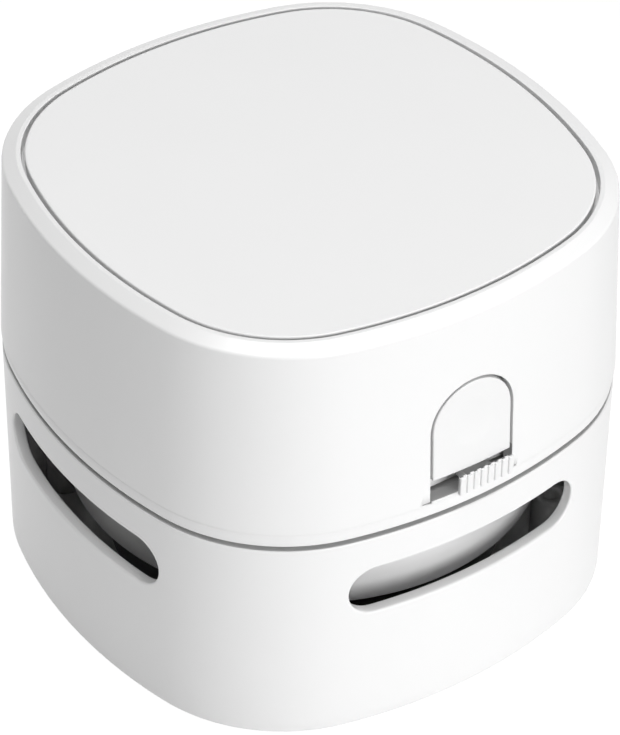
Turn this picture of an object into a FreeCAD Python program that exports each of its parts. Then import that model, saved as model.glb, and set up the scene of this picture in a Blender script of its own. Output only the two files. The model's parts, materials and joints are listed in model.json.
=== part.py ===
import FreeCAD, Part
import math
import os

# A palm-sized vacuum cleaner for desk tops. The lower shell stands on the desk and holds the
# dust cup; the upper housing holds the motor, fan, filter, cells, switch and release button.
# Millimetres, +Z up. The origin is on the desk, under the middle of the shell. The front,
# with the button and the switch, faces -Y.

Vec = FreeCAD.Vector
SIDES = (-1, 1)
CORNERS = [(sx, sy) for sx in SIDES for sy in SIDES]

# ---- allowances for the modelling itself ----
past = 1.0                  # cutting solids run this far past the faces they cut
bond = 0.1                  # solids that are joined run this far into each other

# ---- cells and motor: standard parts that set the size of the rest ----
cell_length = 50.5          # AA cell, over its nub
cell_radius = 7.1
cell_nub_radius = 2.7
cell_nub_height = 1.3
cell_play = 0.35            # cell to trough
motor_width = 20.0          # small flat-sided motor can
motor_depth = 15.0
motor_can_length = 21.7
motor_cap_length = 2.4
motor_play = 0.2            # can to its well
motor_boss_radius = 3.0
motor_boss_height = 1.2
shaft_radius = 1.0
shaft_play = 0.05           # shaft to bush
bush_radius = 2.0
bush_length = 2.4
bush_inset = 0.2            # rear bush to the end of its cap
shaft_inset = 0.4           # shaft's upper end below the end cap
shaft_bevel = 0.2
cap_step = 0.3              # end cap is this much smaller than the can
terminal_width = 2.0
terminal_thickness = 0.4
terminal_inside = 3.0       # terminal inside and outside the can's round
terminal_outside = 2.2
terminal_rise = 1.0         # foot of the end cap to the terminals

# ---- battery tray ----
contact_room = 6.7          # spring, plates and play at the two ends of a cell
contact_plate = 0.4
contact_width = 9.0
contact_play = 0.02         # contact to its wall and its spring
strip_height = 3.0
tray_wall = 1.2
end_wall = 1.3
end_wall_height = 13.5
tray_floor = 1.2
end_wall_half = 7.5
tray_to_side = 9.7          # end wall of the tray to the middle of the outer side
tray_corner = 4.0
cradle_drop = 1.0           # edge of a trough below the middle of its cell
well_height = 8.0

# ---- plan outline: four slightly bowed sides joined by large round corners ----
half_width = (cell_length + contact_room) / 2 + contact_plate + end_wall + tray_to_side
side_radius = 75.6
corner_radius = 25.3

# ---- walls and the seam ----
upper_wall = 2.0
lower_wall = 1.8
lower_inset = 0.1           # the lower shell is this much smaller than the upper, all round
edge_bevel = 0.35           # broken edges of the large mouldings
glide_proud = 0.4           # shell bottom to desk
lower_height = 33.2
seam_gap = 0.7
skirt_height = 2.3          # bevel round the foot of the upper shell
skirt_inset = 0.25
spigot_height = 2.7
spigot_thickness = 1.6
spigot_play = 0.3           # spigot to the inside of the upper shell
spigot_ledge = 1.1          # depth of the ledge under the spigot, which the latch hooks hold
seat_gap = 0.2              # seat ribs to the top of the spigot
rib_height = 9.0
rib_offset = 5.0            # seat rib to the line of the screws

# ---- top ----
wall_lean = 1.4             # the upper wall leans in by this much on its way up
shoulder_width = 2.0        # shallow bevel round the top
shoulder_height = 0.9
shoulder_bevel = 0.35       # breaks the edge between the shoulder and the wall
rim_land = 0.65             # flat rim between the shoulder and the cover's gap
cover_gap = 0.55
cover_thickness = 1.8
ledge_width = 2.55          # shelf under the edge of the cover
ledge_thickness = 1.8
cover_rest = 0.2            # cover to its shelf
lip_play = 0.3
lip_wall = 1.2
lip_depth = 1.6
lid_rib_depth = 0.8
pad_half_length = 16.0
pad_half_width = 4.0
headroom = 1.9              # motor to cover

# ---- exhaust vents, one in each side of the lower shell ----
vent_half_length = 18.9
vent_height = 7.9
vent_middle = 23.85         # above the bottom edge of the shell

# ---- base ----
plate_recess = 0.8          # shell bottom to base plate
plate_thickness = 1.8
plate_play = 0.3
mouth_half_length = 16.8
mouth_half_width = 5.8
throat_wall = 1.2
throat_rise = 11.5          # throat above the base plate
throat_flange = 2.4
throat_flange_thickness = 1.3
throat_play = 0.15
glide_half_length = 7.0
glide_half_width = 2.2
glide_inset = 7.2           # middle of a glide to the outer side
brush_offset = 11.4         # middle of a brush strip to the middle of the mouth
brush_half_length = 17.0
brush_width = 3.0
brush_depth = 1.2
brush_tufts = 13
tuft_radius = 0.55
tuft_clear = 0.15           # tuft ends to desk
boss_radius = 2.8
boss_height = 9.0
corner_inset = 7.6          # screw centre to the outer surface, on the diagonal
screw_radius = 1.0
screw_head_radius = 1.9
screw_head_height = 1.1
screw_length = 5.0
screw_play = 0.2            # screw to a clearance hole
thread_play = 0.03          # screw to its own thread

# ---- dust cup and filter collar ----
plenum = 3.5                # filter collar to the inside of the shell, at mid side
collar_wall = 1.4
collar_height = 10.2
collar_ledge = 1.2
collar_skirt = 2.0          # collar below the cup's flange
cup_wall = 1.4
cup_floor = 1.5
cup_step = 4.1              # collar to the outside of the cup below it
cup_draft = 1.6             # the cup is this much narrower at its floor
cup_bevel = 1.2             # round its foot, outside and inside
cup_inner_bevel = 0.6
cup_flange = 1.2
cup_play = 0.2
seat_play = 0.1             # stacked pieces

# ---- fan, filter and deck ----
deck_gap = 0.9              # spigot top to deck
deck_thickness = 1.6
deck_play = 0.4
motor_seat = 0.6            # depth of the motor's seat in the deck
fan_chamber = 8.3
cover_plate = 1.3           # inlet plate under the fan
plate_inset = 0.2           # inlet plate inside the filter collar's outer edge
inlet_radius = 9.5
seal_width = 1.8
seal_thickness = 0.8
seal_gap = 0.2
filter_wall = 1.4
filter_depth = 6.2
filter_room = 1.2           # filter frame to collar
filter_bars = 1.0
filter_hub = 4.6
filter_spokes = 6
snap_height = 1.5
snap_wall = 1.2
pleat_pitch = 3.2
pleat_thickness = 0.7
fan_radius = 19.0
fan_plate = 1.0
fan_blades = 9
blade_thickness = 0.9
blade_bow = 13.0
fan_gap = 0.5               # fan to deck, and blades to inlet plate
fan_hub_radius = 3.4
hub_short = 0.6             # hub above the foot of the blades
blade_start = 5.8
blade_taper = 2.1           # blades are this much shorter at the rim
shaft_short = 0.2           # shaft's lower end above the foot of the blades
guard_spokes = 6
guard_width = 1.0
guard_sink = 0.5            # guard below the face of the inlet plate
vane_inner = 20.8
vane_outer = 27.0
vane_count = 9              # every third place holds a pillar instead
vane_turn = 10
pillar_radius = 2.3
pillar_circle = 24.0
tray_pillar_x = 20.0
pillar_skin = 0.6           # left above the screw bore of a pillar
motor_collar_height = 3.5
notch_play = 1.5            # latch legs to the notch in the deck

# ---- release button and latch, at the front ----
controls_x = -0.8           # middle of the button and the switch, from the middle of the front
button_half_width = 6.55
button_to_knob = 0.35
button_straight = 7.6       # straight sides, up to the centre of the round top
button_gap = 0.22           # half of the line round the button
button_thickness = 2.4
flange_overlap = 1.5
flange_thickness = 1.2
flange_lift = 0.3           # foot of the flange above the button's
button_travel = 1.2
latch_clear = 0.6           # pressed button to the latch
dish_radius = 4.0
dish_depth = 0.35
stem_half = 1.6
stem_half_width = 3.0
yoke_gap = 0.3
yoke_thickness = 1.2
yoke_leg_x = 13.0
yoke_leg_half = 1.5
yoke_bar_half = 2.0
yoke_over = 3.1             # top of the latch above the button's flange
yoke_top_bar = 3.0
bar_clear = 0.6             # switch pins to the bar that the stem pushes
hook_height = 1.2
hook_reach = 0.8
hook_root = 0.4
hook_nose = 0.5
latch_boss_radius = 2.25
latch_grip = 1.9            # thread of the latch screws in their bosses
spring_clear = 2.2          # stem to spring
spring_half = 5.5
spring_width = 3.6
spring_thickness = 0.3
spring_flat = 0.4           # share of the spring's length that lies flat
spring_seat_half = 5.0
spring_seat_rise = 3.4

# ---- slide switch ----
slot_rise = 2.55            # foot of the upper shell to the foot of the slot
knob_width = 8.8
knob_height = 2.95
knob_proud = 0.95
knob_end_gap = 0.75         # knob to the end of its slot
knob_cap = 0.6              # thickness of the cap, which stands clear of the wall
knob_ribs = 8
knob_rib_pitch = 1.13
knob_groove = 0.45
knob_groove_depth = 0.3
knob_round = 0.2
neck_half_width = 2.2       # the neck joins the cap to the carrier through the slot
neck_height = 1.4
knob_play = 0.1             # knob to the foot of its slot
carrier_thickness = 1.0
carrier_below = 0.25        # carrier below the foot of the slot
carrier_play = 0.15         # carrier to the button
carrier_overlap = 1.9       # carrier past the slot at the ends of its travel
carrier_behind = 1.2        # carrier's face behind the middle of the inner wall
tick_length = 0.9
tick_height = 0.3
switch_half_length = 6.5
switch_depth = 5.0
switch_height = 5.0
switch_gap = 1.4            # carrier to switch
switch_rise = 0.8           # middle of the switch above its lever
pin_pitch = 4.0
pin_width = 1.2
pin_thickness = 0.4
pin_inset = 1.2
pin_length = 2.4
lever_half = 1.0
lever_play = 0.2
pocket_wall = 1.2
pocket_open = 1.0           # switch stands this far out of its pocket, in front and above
pocket_short = 0.5
pocket_foot = 1.5


# ---- places that follow from the sizes ----
lower_z = glide_proud
seam_z = lower_z + lower_height
upper_z = seam_z + seam_gap
spigot_top = seam_z + spigot_height
deck_z = spigot_top + deck_gap
deck_top = deck_z + deck_thickness
can_z = deck_top - motor_seat
cap_z = can_z + motor_can_length
motor_top = cap_z + motor_cap_length
cover_under = motor_top + headroom
top_z = cover_under + cover_thickness
ledge_z = cover_under - cover_rest
shoulder_z = top_z - shoulder_height
skirt_z = upper_z + skirt_height
lean_slope = wall_lean / (shoulder_z - skirt_z)
base_under = lower_z + plate_recess
floor_z = base_under + plate_thickness
spigot_inset = upper_wall + spigot_play
spigot_inner = spigot_inset + spigot_thickness
lower_inner = lower_inset + lower_wall
spigot_foot = seam_z - spigot_ledge
inner_half = half_width - lower_inner
collar_radius = inner_half - plenum
inlet_z = deck_z - fan_chamber - cover_plate
rim_z = inlet_z - seal_thickness - seal_gap
collar_z = rim_z - collar_height
cup_radius = collar_radius - cup_step
cup_top = collar_z + cup_flange + collar_skirt
collar_ledge_z = cup_top + seat_play
collar_inner = collar_radius - collar_wall
inlet_plate_radius = collar_radius - plate_inset
filter_radius = collar_inner - filter_room
filter_z = inlet_z - seat_play - filter_depth
media_radius = filter_radius - filter_wall - seat_play
bay_half = (cell_length + contact_room) / 2
trough_inner = cell_radius + cell_play
trough_outer = trough_inner + tray_wall
cell_y = motor_depth / 2 + motor_play + tray_wall + trough_outer
cell_z = cover_under - lip_depth - cell_play - cell_radius
tray_z = cell_z - trough_outer
tray_half_x = bay_half + contact_plate + end_wall
tray_half_y = cell_y + trough_outer
recess_inset = wall_lean + shoulder_width + rim_land
cover_inset = recess_inset + cover_gap
opening_inset = recess_inset + ledge_width
side_centre = side_radius - half_width
corner_reach = side_radius - corner_radius
corner_centre = (math.sqrt(2 * corner_reach**2 - side_centre**2) - side_centre) / 2
corner_turn = math.atan2(corner_centre, corner_centre + side_centre)
screw_place = corner_centre + (corner_radius - corner_inset) * math.sqrt(0.5)
inner_front = -(half_width - upper_wall)
slot_foot = upper_z + slot_rise
button_foot = slot_foot + knob_play + knob_height + button_to_knob
button_arch = button_foot + button_straight
flange_top = button_arch + button_half_width + flange_overlap
button_back = (flange_top - skirt_z) * lean_slope - (half_width - button_thickness - flange_thickness)
yoke_front = button_back + button_travel + latch_clear
yoke_top = flange_top + yoke_over
controls_place = Vec(controls_x, 0, 0)
knob_left = controls_x + button_half_width + button_gap - knob_end_gap - knob_width
knob_travel = 2 * (button_half_width + button_gap - knob_end_gap) - knob_width
knob_middle = knob_left + knob_width / 2
carrier_front = inner_front + carrier_behind
carrier_back = carrier_front + carrier_thickness
switch_front = carrier_back + switch_gap
switch_back = switch_front + switch_depth
lever_z = slot_foot + knob_play + knob_height / 2
switch_z = lever_z - switch_height / 2 + switch_rise
stem_height = switch_z + switch_height + pin_length + bar_clear + yoke_bar_half
spring_height = stem_height + stem_half + spring_clear + spring_width / 2


# ---- plain solids ----
def box(x0, x1, y0, y1, z0, z1):
    return Part.makeBox(x1 - x0, y1 - y0, z1 - z0, Vec(x0, y0, z0))


def post(radius, z0, z1, x=0.0, y=0.0):
    return Part.makeCylinder(radius, z1 - z0, Vec(x, y, z0))


def rod_y(radius, y0, y1, x, z):
    return Part.makeCylinder(radius, y1 - y0, Vec(x, y0, z), Vec(0, 1, 0))


def rod_x(radius, x0, x1, y, z):
    return Part.makeCylinder(radius, x1 - x0, Vec(x0, y, z), Vec(1, 0, 0))


def ring(inner, outer, z0, z1):
    return post(outer, z0, z1).cut(post(inner, z0, z1))


def turned(profile):
    """A solid turned about Z from a closed outline of (radius, height) points."""
    points = [Vec(r, 0, z) for r, z in profile]
    face = Part.Face(Part.makePolygon(points + points[:1]))
    return face.revolve(Vec(0, 0, 0), Vec(0, 0, 1), 360)


def joined(shapes):
    """One shape of the solids that touch, with the seams between their faces cleaned away."""
    first, rest = shapes[0], shapes[1:]
    return first.fuse(rest).removeSplitter() if rest else first


def group(shapes):
    """Separate solids kept side by side."""
    return Part.Compound([solid for shape in shapes for solid in shape.Solids])


def edges_at(shape, z):
    """The edges that lie wholly at one height."""
    return [e for e in shape.Edges if e.BoundBox.ZLength < 0.01 and abs(e.BoundBox.ZMin - z) < 0.01]


# ---- the plan outline ----
def outline(inset, z):
    """Closed wire of the plan outline at height z, drawn in by inset on every side."""
    side = side_radius - inset
    corner = corner_radius - inset
    edges = []
    for quarter in range(4):
        turn = FreeCAD.Rotation(Vec(0, 0, 1), 90 * quarter)
        along = math.sin(corner_turn)
        across = math.cos(corner_turn)
        side_mid = Vec(0, side - side_centre, z)
        side_a = Vec(-side * along, side * across - side_centre, z)
        side_b = Vec(side * along, side * across - side_centre, z)
        corner_mid = Vec(1, 1, 0) * (corner_centre + corner * math.sqrt(0.5)) + Vec(0, 0, z)
        corner_b = Vec(corner_centre + corner * across, corner_centre + corner * along, z)
        edges.append(Part.Arc(*[turn * p for p in (side_a, side_mid, side_b)]).toShape())
        edges.append(Part.Arc(*[turn * p for p in (side_b, corner_mid, corner_b)]).toShape())
    return Part.Wire(Part.__sortEdges__(edges))


def slab(inset, z0, z1):
    return Part.Face(outline(inset, z0)).extrude(Vec(0, 0, z1 - z0))


def stack(*sections):
    """A solid through outlines given as (inset, height), with straight sides between them."""
    return Part.makeLoft([outline(inset, z) for inset, z in sections], True, True)


def lean(z):
    """How far the upper wall has leant in at height z."""
    return max(z - skirt_z, 0) * lean_slope


def wall_core(z0, z1):
    """All that lies within the middle of the upper wall, between two heights."""
    return stack((upper_wall / 2 + lean(z0), z0), (upper_wall / 2 + lean(z1), z1))


# ---- flat shapes pushed through a wall ----
def obround(half_length, half_height):
    """A slot outline in the XY plane, round at both ends of X."""
    flat = half_length - half_height
    left = Part.Arc(Vec(-flat, half_height, 0), Vec(-half_length, 0, 0), Vec(-flat, -half_height, 0))
    right = Part.Arc(Vec(flat, -half_height, 0), Vec(half_length, 0, 0), Vec(flat, half_height, 0))
    low = Part.LineSegment(Vec(-flat, -half_height, 0), Vec(flat, -half_height, 0))
    high = Part.LineSegment(Vec(flat, half_height, 0), Vec(-flat, half_height, 0))
    return Part.Face(Part.Wire([s.toShape() for s in (left, low, right, high)]))


def obround_post(half_length, half_width_, z0, z1, x=0.0, y=0.0, turn=0.0):
    solid = obround(half_length, half_width_).extrude(Vec(0, 0, z1 - z0))
    solid.rotate(Vec(0, 0, 0), Vec(0, 0, 1), turn)
    solid.translate(Vec(x, y, z0))
    return solid


def arch(half, foot, centre, y0, y1):
    """A block along Y with the outline of an arch: straight sides and a half-round top."""
    crown = Part.Arc(Vec(half, y0, centre), Vec(0, y0, centre + half), Vec(-half, y0, centre))
    left = Part.LineSegment(Vec(-half, y0, centre), Vec(-half, y0, foot))
    low = Part.LineSegment(Vec(-half, y0, foot), Vec(half, y0, foot))
    right = Part.LineSegment(Vec(half, y0, foot), Vec(half, y0, centre))
    wire = Part.Wire([s.toShape() for s in (crown, left, low, right)])
    return Part.Face(wire).extrude(Vec(0, y1 - y0, 0))


def front_band(depth0, depth1):
    """The front wall's own curve and lean as a band, from depth0 to depth1 behind the surface."""
    foot = Vec(0, side_centre, skirt_z)
    outer, inner = [Part.makeCone(side_radius - depth, side_radius - depth - wall_lean,
                                  shoulder_z - skirt_z, foot) for depth in (depth0, depth1)]
    return outer.cut(inner)


def six_sided(radius, z0, z1, x=0.0, y=0.0):
    """An upright bar whose section is a regular hexagon."""
    corners = [Vec(x + radius * math.cos(math.radians(60 * i)),
                   y + radius * math.sin(math.radians(60 * i)), z0) for i in range(6)]
    return Part.Face(Part.makePolygon(corners + corners[:1])).extrude(Vec(0, 0, z1 - z0))


def screw(x, y, z, length=screw_length, upward=True, head_radius=screw_head_radius):
    """A screw whose hexagon head bears on height z; its thread is drawn as a six-sided bar."""
    solid = joined([six_sided(head_radius, -screw_head_height, 0), six_sided(screw_radius, 0, length)])
    if not upward:
        solid.rotate(Vec(0, 0, 0), Vec(1, 0, 0), 180)
    solid.translate(Vec(x, y, z))
    return solid


def bridge(length, rise):
    """Corners of a flat-topped bridge over X, from 0 to length."""
    flat = spring_flat / 2
    return [Vec(0, 0, 0), Vec((0.5 - flat) * length, 0, rise),
            Vec((0.5 + flat) * length, 0, rise), Vec(length, 0, 0)]


def leaf(length, rise, width, thickness):
    """A strip bent into a bridge over X."""
    low = bridge(length, rise)
    high = [p + Vec(0, 0, thickness) for p in reversed(low)]
    solid = Part.Face(Part.makePolygon(low + high + low[:1])).extrude(Vec(0, width, 0))
    solid.translate(Vec(0, -width / 2, 0))
    return solid


# ---- lower half ----
def lower_shell():
    """Bowed wall with an exhaust vent in each side and a spigot on top."""
    body = slab(lower_inset, lower_z, seam_z)
    body = body.makeChamfer(edge_bevel, edges_at(body, lower_z) + edges_at(body, seam_z))
    body = joined([body, slab(spigot_inset, spigot_foot, spigot_top)])
    body = body.cut(slab(lower_inner, lower_z - past, spigot_foot))
    body = body.cut(slab(spigot_inner, spigot_foot - bond, spigot_top + past))
    body = joined([body] + [base_boss(sx, sy) for sx, sy in CORNERS])
    vent_z = lower_z + vent_middle
    slot = obround(vent_half_length, vent_height / 2).extrude(Vec(0, 0, 2 * (half_width + past)))
    slot.rotate(Vec(0, 0, 0), Vec(1, 0, 0), 90)
    slot.translate(Vec(0, half_width + past, vent_z))
    across = slot.copy()
    across.rotate(Vec(0, 0, vent_z), Vec(0, 0, 1), 90)
    return body.cut([slot, across])


def base_boss(sx, sy):
    """Screw boss in a corner of the lower shell, webbed to the wall."""
    x, y = sx * screw_place, sy * screw_place
    low = floor_z + seat_play
    web = box(0, corner_inset, -tray_wall / 2, tray_wall / 2, low, low + boss_height)
    web.rotate(Vec(0, 0, 0), Vec(0, 0, 1), math.degrees(math.atan2(sy, sx)))
    web.translate(Vec(x, y, 0))
    boss = joined([post(boss_radius, low, low + boss_height, x, y), web])
    boss = boss.common(slab(lower_inset + lower_wall / 2, low, low + boss_height))
    bore = post(screw_radius + thread_play, low - past, low + screw_length, x, y)
    return boss.cut(bore)


def base_plate():
    """Bottom plate with the suction mouth, brush channels and screw holes."""
    plate = slab(lower_inner + plate_play, base_under, floor_z)
    hole = obround_post(mouth_half_length + throat_wall + throat_play,
                        mouth_half_width + throat_wall + throat_play, base_under - past, floor_z + past)
    step = obround_post(mouth_half_length + throat_flange + throat_play,
                        mouth_half_width + throat_flange + throat_play,
                        base_under - past, throat_foot() + throat_flange_thickness + seat_play)
    plate = plate.cut([hole, step])
    for side in SIDES:
        plate = plate.cut(brush_bar(side, seat_play))
    for sx, sy in CORNERS:
        x, y = sx * screw_place, sy * screw_place
        plate = plate.cut(post(screw_radius + screw_play, base_under - past, floor_z + past, x, y))
        plate = plate.cut(post(screw_head_radius + screw_play, base_under - past, screw_seat(), x, y))
    return plate


def screw_seat():
    """Height that the heads of the base screws bear on."""
    return base_under + screw_head_height - plate_recess / 2


def throat_foot():
    return base_under - plate_recess / 2


def inlet_throat():
    """Upright tube from the suction mouth into the cup, so that the dust stays behind it."""
    foot = throat_foot()
    top = floor_z + throat_rise
    wall = obround_post(mouth_half_length + throat_wall, mouth_half_width + throat_wall, foot, top)
    flange = obround_post(mouth_half_length + throat_flange, mouth_half_width + throat_flange,
                          foot, foot + throat_flange_thickness)
    tube = joined([wall, flange])
    tube = tube.cut(obround_post(mouth_half_length, mouth_half_width, foot - past, top + past))
    return tube


def brush_bar(side, play=0.0):
    """The bar that carries one row of bristles, or its channel when given play."""
    y = side * brush_offset
    half = brush_width / 2 + play
    foot = base_under - past if play else base_under
    return obround_post(brush_half_length + play, half, foot, base_under + brush_depth + play, 0, y)


def bristles(side):
    """A row of six-sided tufts under one brush bar."""
    pitch = 2 * (brush_half_length - brush_width / 2) / (brush_tufts - 1)
    first = -(brush_tufts - 1) / 2 * pitch
    return group([six_sided(tuft_radius, tuft_clear, base_under, first + i * pitch, side * brush_offset)
                  for i in range(brush_tufts)])


def glides():
    """Four low pads that the cleaner slides on."""
    away = half_width - glide_inset
    places = [(away, 0, 90), (-away, 0, 90), (0, away, 0), (0, -away, 0)]
    return group([obround_post(glide_half_length, glide_half_width, 0, base_under, x, y, turn)
                  for x, y, turn in places])


def base_screws():
    return group([screw(sx * screw_place, sy * screw_place, screw_seat()) for sx, sy in CORNERS])


def dust_cup():
    """Round cup with drafted sides, a rounded foot and a flange that carries the collar."""
    low = floor_z + seat_play
    foot = cup_radius - cup_draft
    inner = cup_radius - cup_wall
    inner_floor = low + cup_floor
    cup = turned([(0, low), (foot - cup_bevel, low), (foot, low + cup_bevel),
                  (cup_radius, cup_top - cup_flange), (collar_inner - cup_play, cup_top - cup_flange),
                  (collar_inner - cup_play, cup_top), (inner, cup_top),
                  (foot - cup_wall, inner_floor + cup_inner_bevel),
                  (foot - cup_wall - cup_inner_bevel, inner_floor), (0, inner_floor)])
    hole = obround_post(mouth_half_length + throat_wall + throat_play,
                        mouth_half_width + throat_wall + throat_play, low - past, low + cup_floor + past)
    return cup.cut(hole)


def filter_collar():
    """Glossy ring on top of the cup, which the filter drops into and the vents show."""
    ledge_inner = cup_radius - cup_wall
    collar = turned([(collar_inner, collar_z), (collar_radius, collar_z), (collar_radius, rim_z),
                     (collar_inner, rim_z), (collar_inner, collar_ledge_z + collar_ledge),
                     (ledge_inner, collar_ledge_z + collar_ledge), (ledge_inner, collar_ledge_z),
                     (collar_inner, collar_ledge_z)])
    foot_edge = [e for e in edges_at(collar, collar_z) if e.BoundBox.XMax > collar_inner + bond]
    return collar.makeChamfer(edge_bevel, foot_edge)


# ---- filter and fan ----
def filter_frame():
    """Ring with a spoked floor that holds the pleated medium."""
    top = inlet_z - seat_play
    bars_top = filter_z + filter_bars
    frame = [ring(filter_radius - filter_wall, filter_radius, filter_z, top),
             ring(filter_hub - filter_wall, filter_hub, filter_z, bars_top)]
    for i in range(filter_spokes):
        bar = box(filter_hub - filter_wall / 2, filter_radius - filter_wall / 2,
                  -filter_bars, filter_bars, filter_z, bars_top)
        bar.rotate(Vec(0, 0, 0), Vec(0, 0, 1), 360 / filter_spokes * i)
        frame.append(bar)
    return joined(frame)


def filter_medium():
    """Pleated paper, cut to a disc."""
    low = filter_z + filter_bars + seat_play
    high = inlet_z - snap_height - seat_play
    rise = high - low - pleat_thickness
    count = int(2 * media_radius / pleat_pitch) + 2
    start = -count * pleat_pitch / 2
    upper = []
    for i in range(count + 1):
        upper.append(Vec(0, start + i * pleat_pitch, low + pleat_thickness))
        upper.append(Vec(0, start + (i + 0.5) * pleat_pitch, high))
    lower = [p - Vec(0, 0, pleat_thickness) for p in reversed(upper)]
    sheet = Part.Face(Part.makePolygon(upper + lower + upper[:1]))
    block = sheet.extrude(Vec(2 * media_radius, 0, 0))
    block.translate(Vec(-media_radius, 0, 0))
    return block.common(post(media_radius, low - past, low + rise + 2 * pleat_thickness))


def fan_cover():
    """Inlet plate under the fan: a guarded eye, a snap collar for the filter and guide vanes."""
    top = inlet_z + cover_plate
    plate = post(inlet_plate_radius, inlet_z, top)
    plate = plate.cut(post(inlet_radius, inlet_z - past, top + past))
    snap_outer = filter_radius - filter_wall - seat_play
    pieces = [plate, ring(snap_outer - snap_wall, snap_outer, inlet_z - snap_height, inlet_z)]
    pieces += inlet_guard(top - guard_sink)
    pieces += [guide_vane(360 / vane_count * i + vane_turn) for i in range(vane_count) if i % 3]
    cover = joined(pieces)
    holes = [post(screw_radius + screw_play, inlet_z - past, top + past, x, y)
             for x, y in pillar_places()]
    return cover.cut(holes)


def inlet_guard(top):
    """A ring on spokes that keeps fingers and lint off the fan."""
    middle = inlet_radius / 2
    half = guard_width / 2
    bars = [ring(middle - half, middle + half, inlet_z, top)]
    for i in range(guard_spokes):
        spoke = box(middle, inlet_radius + half, -half, half, inlet_z, top)
        spoke.rotate(Vec(0, 0, 0), Vec(0, 0, 1), 360 / guard_spokes * i)
        bars.append(spoke)
    return bars


def guide_vane(angle):
    """One curved vane that leads the air from the fan outwards."""
    low = inlet_z + cover_plate
    arm = blade(vane_inner, vane_outer, low - bond, deck_z - fan_gap, blade_bow, tray_wall)
    arm.rotate(Vec(0, 0, 0), Vec(0, 0, 1), angle)
    return arm


def blade(inner, outer, z0, z1, bow, thickness):
    """A standing blade curved to an arc of radius bow, between two radii."""
    reach = math.sqrt(inner * outer)
    centre = Vec(reach, -bow, z0)
    band = Part.makeCylinder(bow + thickness / 2, z1 - z0, centre)
    band = band.cut(Part.makeCylinder(bow - thickness / 2, z1 - z0, centre))
    return band.common(ring(inner, outer, z0, z1)).common(box(0, outer, -bow, bow, z0, z1))


def pillar_places():
    angles = [math.radians(120 * i + vane_turn) for i in range(3)]
    return [(pillar_circle * math.cos(a), pillar_circle * math.sin(a)) for a in angles]


def fan_cover_screws():
    return group([screw(x, y, inlet_z, screw_length + cover_plate) for x, y in pillar_places()])


def impeller():
    """Fan with backward-curved blades under a flat plate, pressed on the motor shaft."""
    top = deck_z - fan_gap
    plate_z = top - fan_plate
    foot = blade_foot()
    blades = []
    for i in range(fan_blades):
        one = blade(blade_start, fan_radius, foot, plate_z + bond, blade_bow, blade_thickness)
        one.rotate(Vec(0, 0, 0), Vec(0, 0, 1), 360 / fan_blades * i)
        blades.append(one)
    taper = turned([(inlet_radius, foot - past), (fan_radius + past, foot - past),
                    (fan_radius + past, foot + blade_taper), (inlet_radius, foot)])
    hub = post(fan_hub_radius, foot + hub_short, top)
    fan = joined([post(fan_radius, plate_z, top), hub] + blades).cut(taper)
    return fan.cut(post(shaft_radius + thread_play, foot - past, deck_z))


def blade_foot():
    return inlet_z + cover_plate + fan_gap


def motor_shaft():
    low, high = blade_foot() + shaft_short, motor_top - shaft_inset
    shaft = post(shaft_radius, low, high)
    return shaft.makeChamfer(shaft_bevel, edges_at(shaft, low) + edges_at(shaft, high))


def cup_seal():
    """Soft ring under the inlet plate that closes on the filter collar."""
    return ring(inlet_plate_radius - seal_width, inlet_plate_radius, inlet_z - seal_thickness, inlet_z)


# ---- motor ----
def flat_can(z0, z1, grow=0.0):
    """The motor's section: a round can with two flats."""
    round_part = post(motor_width / 2 + grow, z0, z1)
    flats = box(-motor_width, motor_width, -motor_depth / 2 - grow, motor_depth / 2 + grow, z0, z1)
    return round_part.common(flats)


def motor_can():
    """Steel can with its front bearing boss, hollow round the shaft."""
    can = flat_can(can_z, cap_z)
    can = can.makeChamfer(2 * edge_bevel, edges_at(can, can_z))
    can = joined([can, post(motor_boss_radius, can_z - motor_boss_height, can_z + bond)])
    return can.cut(post(bush_radius, can_z - motor_boss_height - past, cap_z + past))


def motor_end_cap():
    """Plastic end cap with the rear bearing seat and slots for the terminals."""
    cap = flat_can(cap_z, motor_top, -cap_step)
    cap = cap.makeChamfer(edge_bevel, edges_at(cap, motor_top))
    for side in SIDES:
        cap = cap.cut(terminal(side, seat_play / 2))
    return cap.cut(post(bush_radius, cap_z - past, motor_top + past))


def terminal(side, play=0.0):
    """A tab that stands out of the end cap, or its slot when given play."""
    inner = motor_width / 2 - terminal_inside - play
    outer = motor_width / 2 + terminal_outside + play
    x0, x1 = sorted((side * inner, side * outer))
    half = terminal_width / 2 + play
    low = cap_z + terminal_rise
    return box(x0, x1, -half, half, low - play, low + terminal_thickness + play)


def motor_terminals():
    return group([terminal(side) for side in SIDES])


def motor_bushes():
    """Bronze bushes at both ends of the can."""
    bore = shaft_radius + shaft_play
    front = can_z - motor_boss_height
    return group([ring(bore, bush_radius, front, front + bush_length),
                  ring(bore, bush_radius, motor_top - bush_length + bush_inset, motor_top)])


# ---- deck and battery tray ----
def motor_deck():
    """Plate across the housing: motor seat above, fan chamber below, switch pocket in front."""
    deck = slab(upper_wall + deck_play, deck_z, deck_top)
    notch = yoke_leg_x + yoke_leg_half + notch_play
    deck = deck.cut(box(-notch, notch, -half_width, switch_back + pocket_wall, deck_z - past,
                        deck_top + past))
    pillars = [post(pillar_radius, inlet_z + cover_plate + seat_play, deck_z, x, y)
               for x, y in pillar_places()]
    stands = [post(pillar_radius, deck_top, tray_z - seat_play, side * tray_pillar_x, 0)
              for side in SIDES]
    collar = flat_can(deck_top, deck_top + motor_collar_height, motor_play + tray_wall)
    return joined([deck, collar, switch_pocket()] + pillars + stands).cut(deck_holes())


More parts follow.
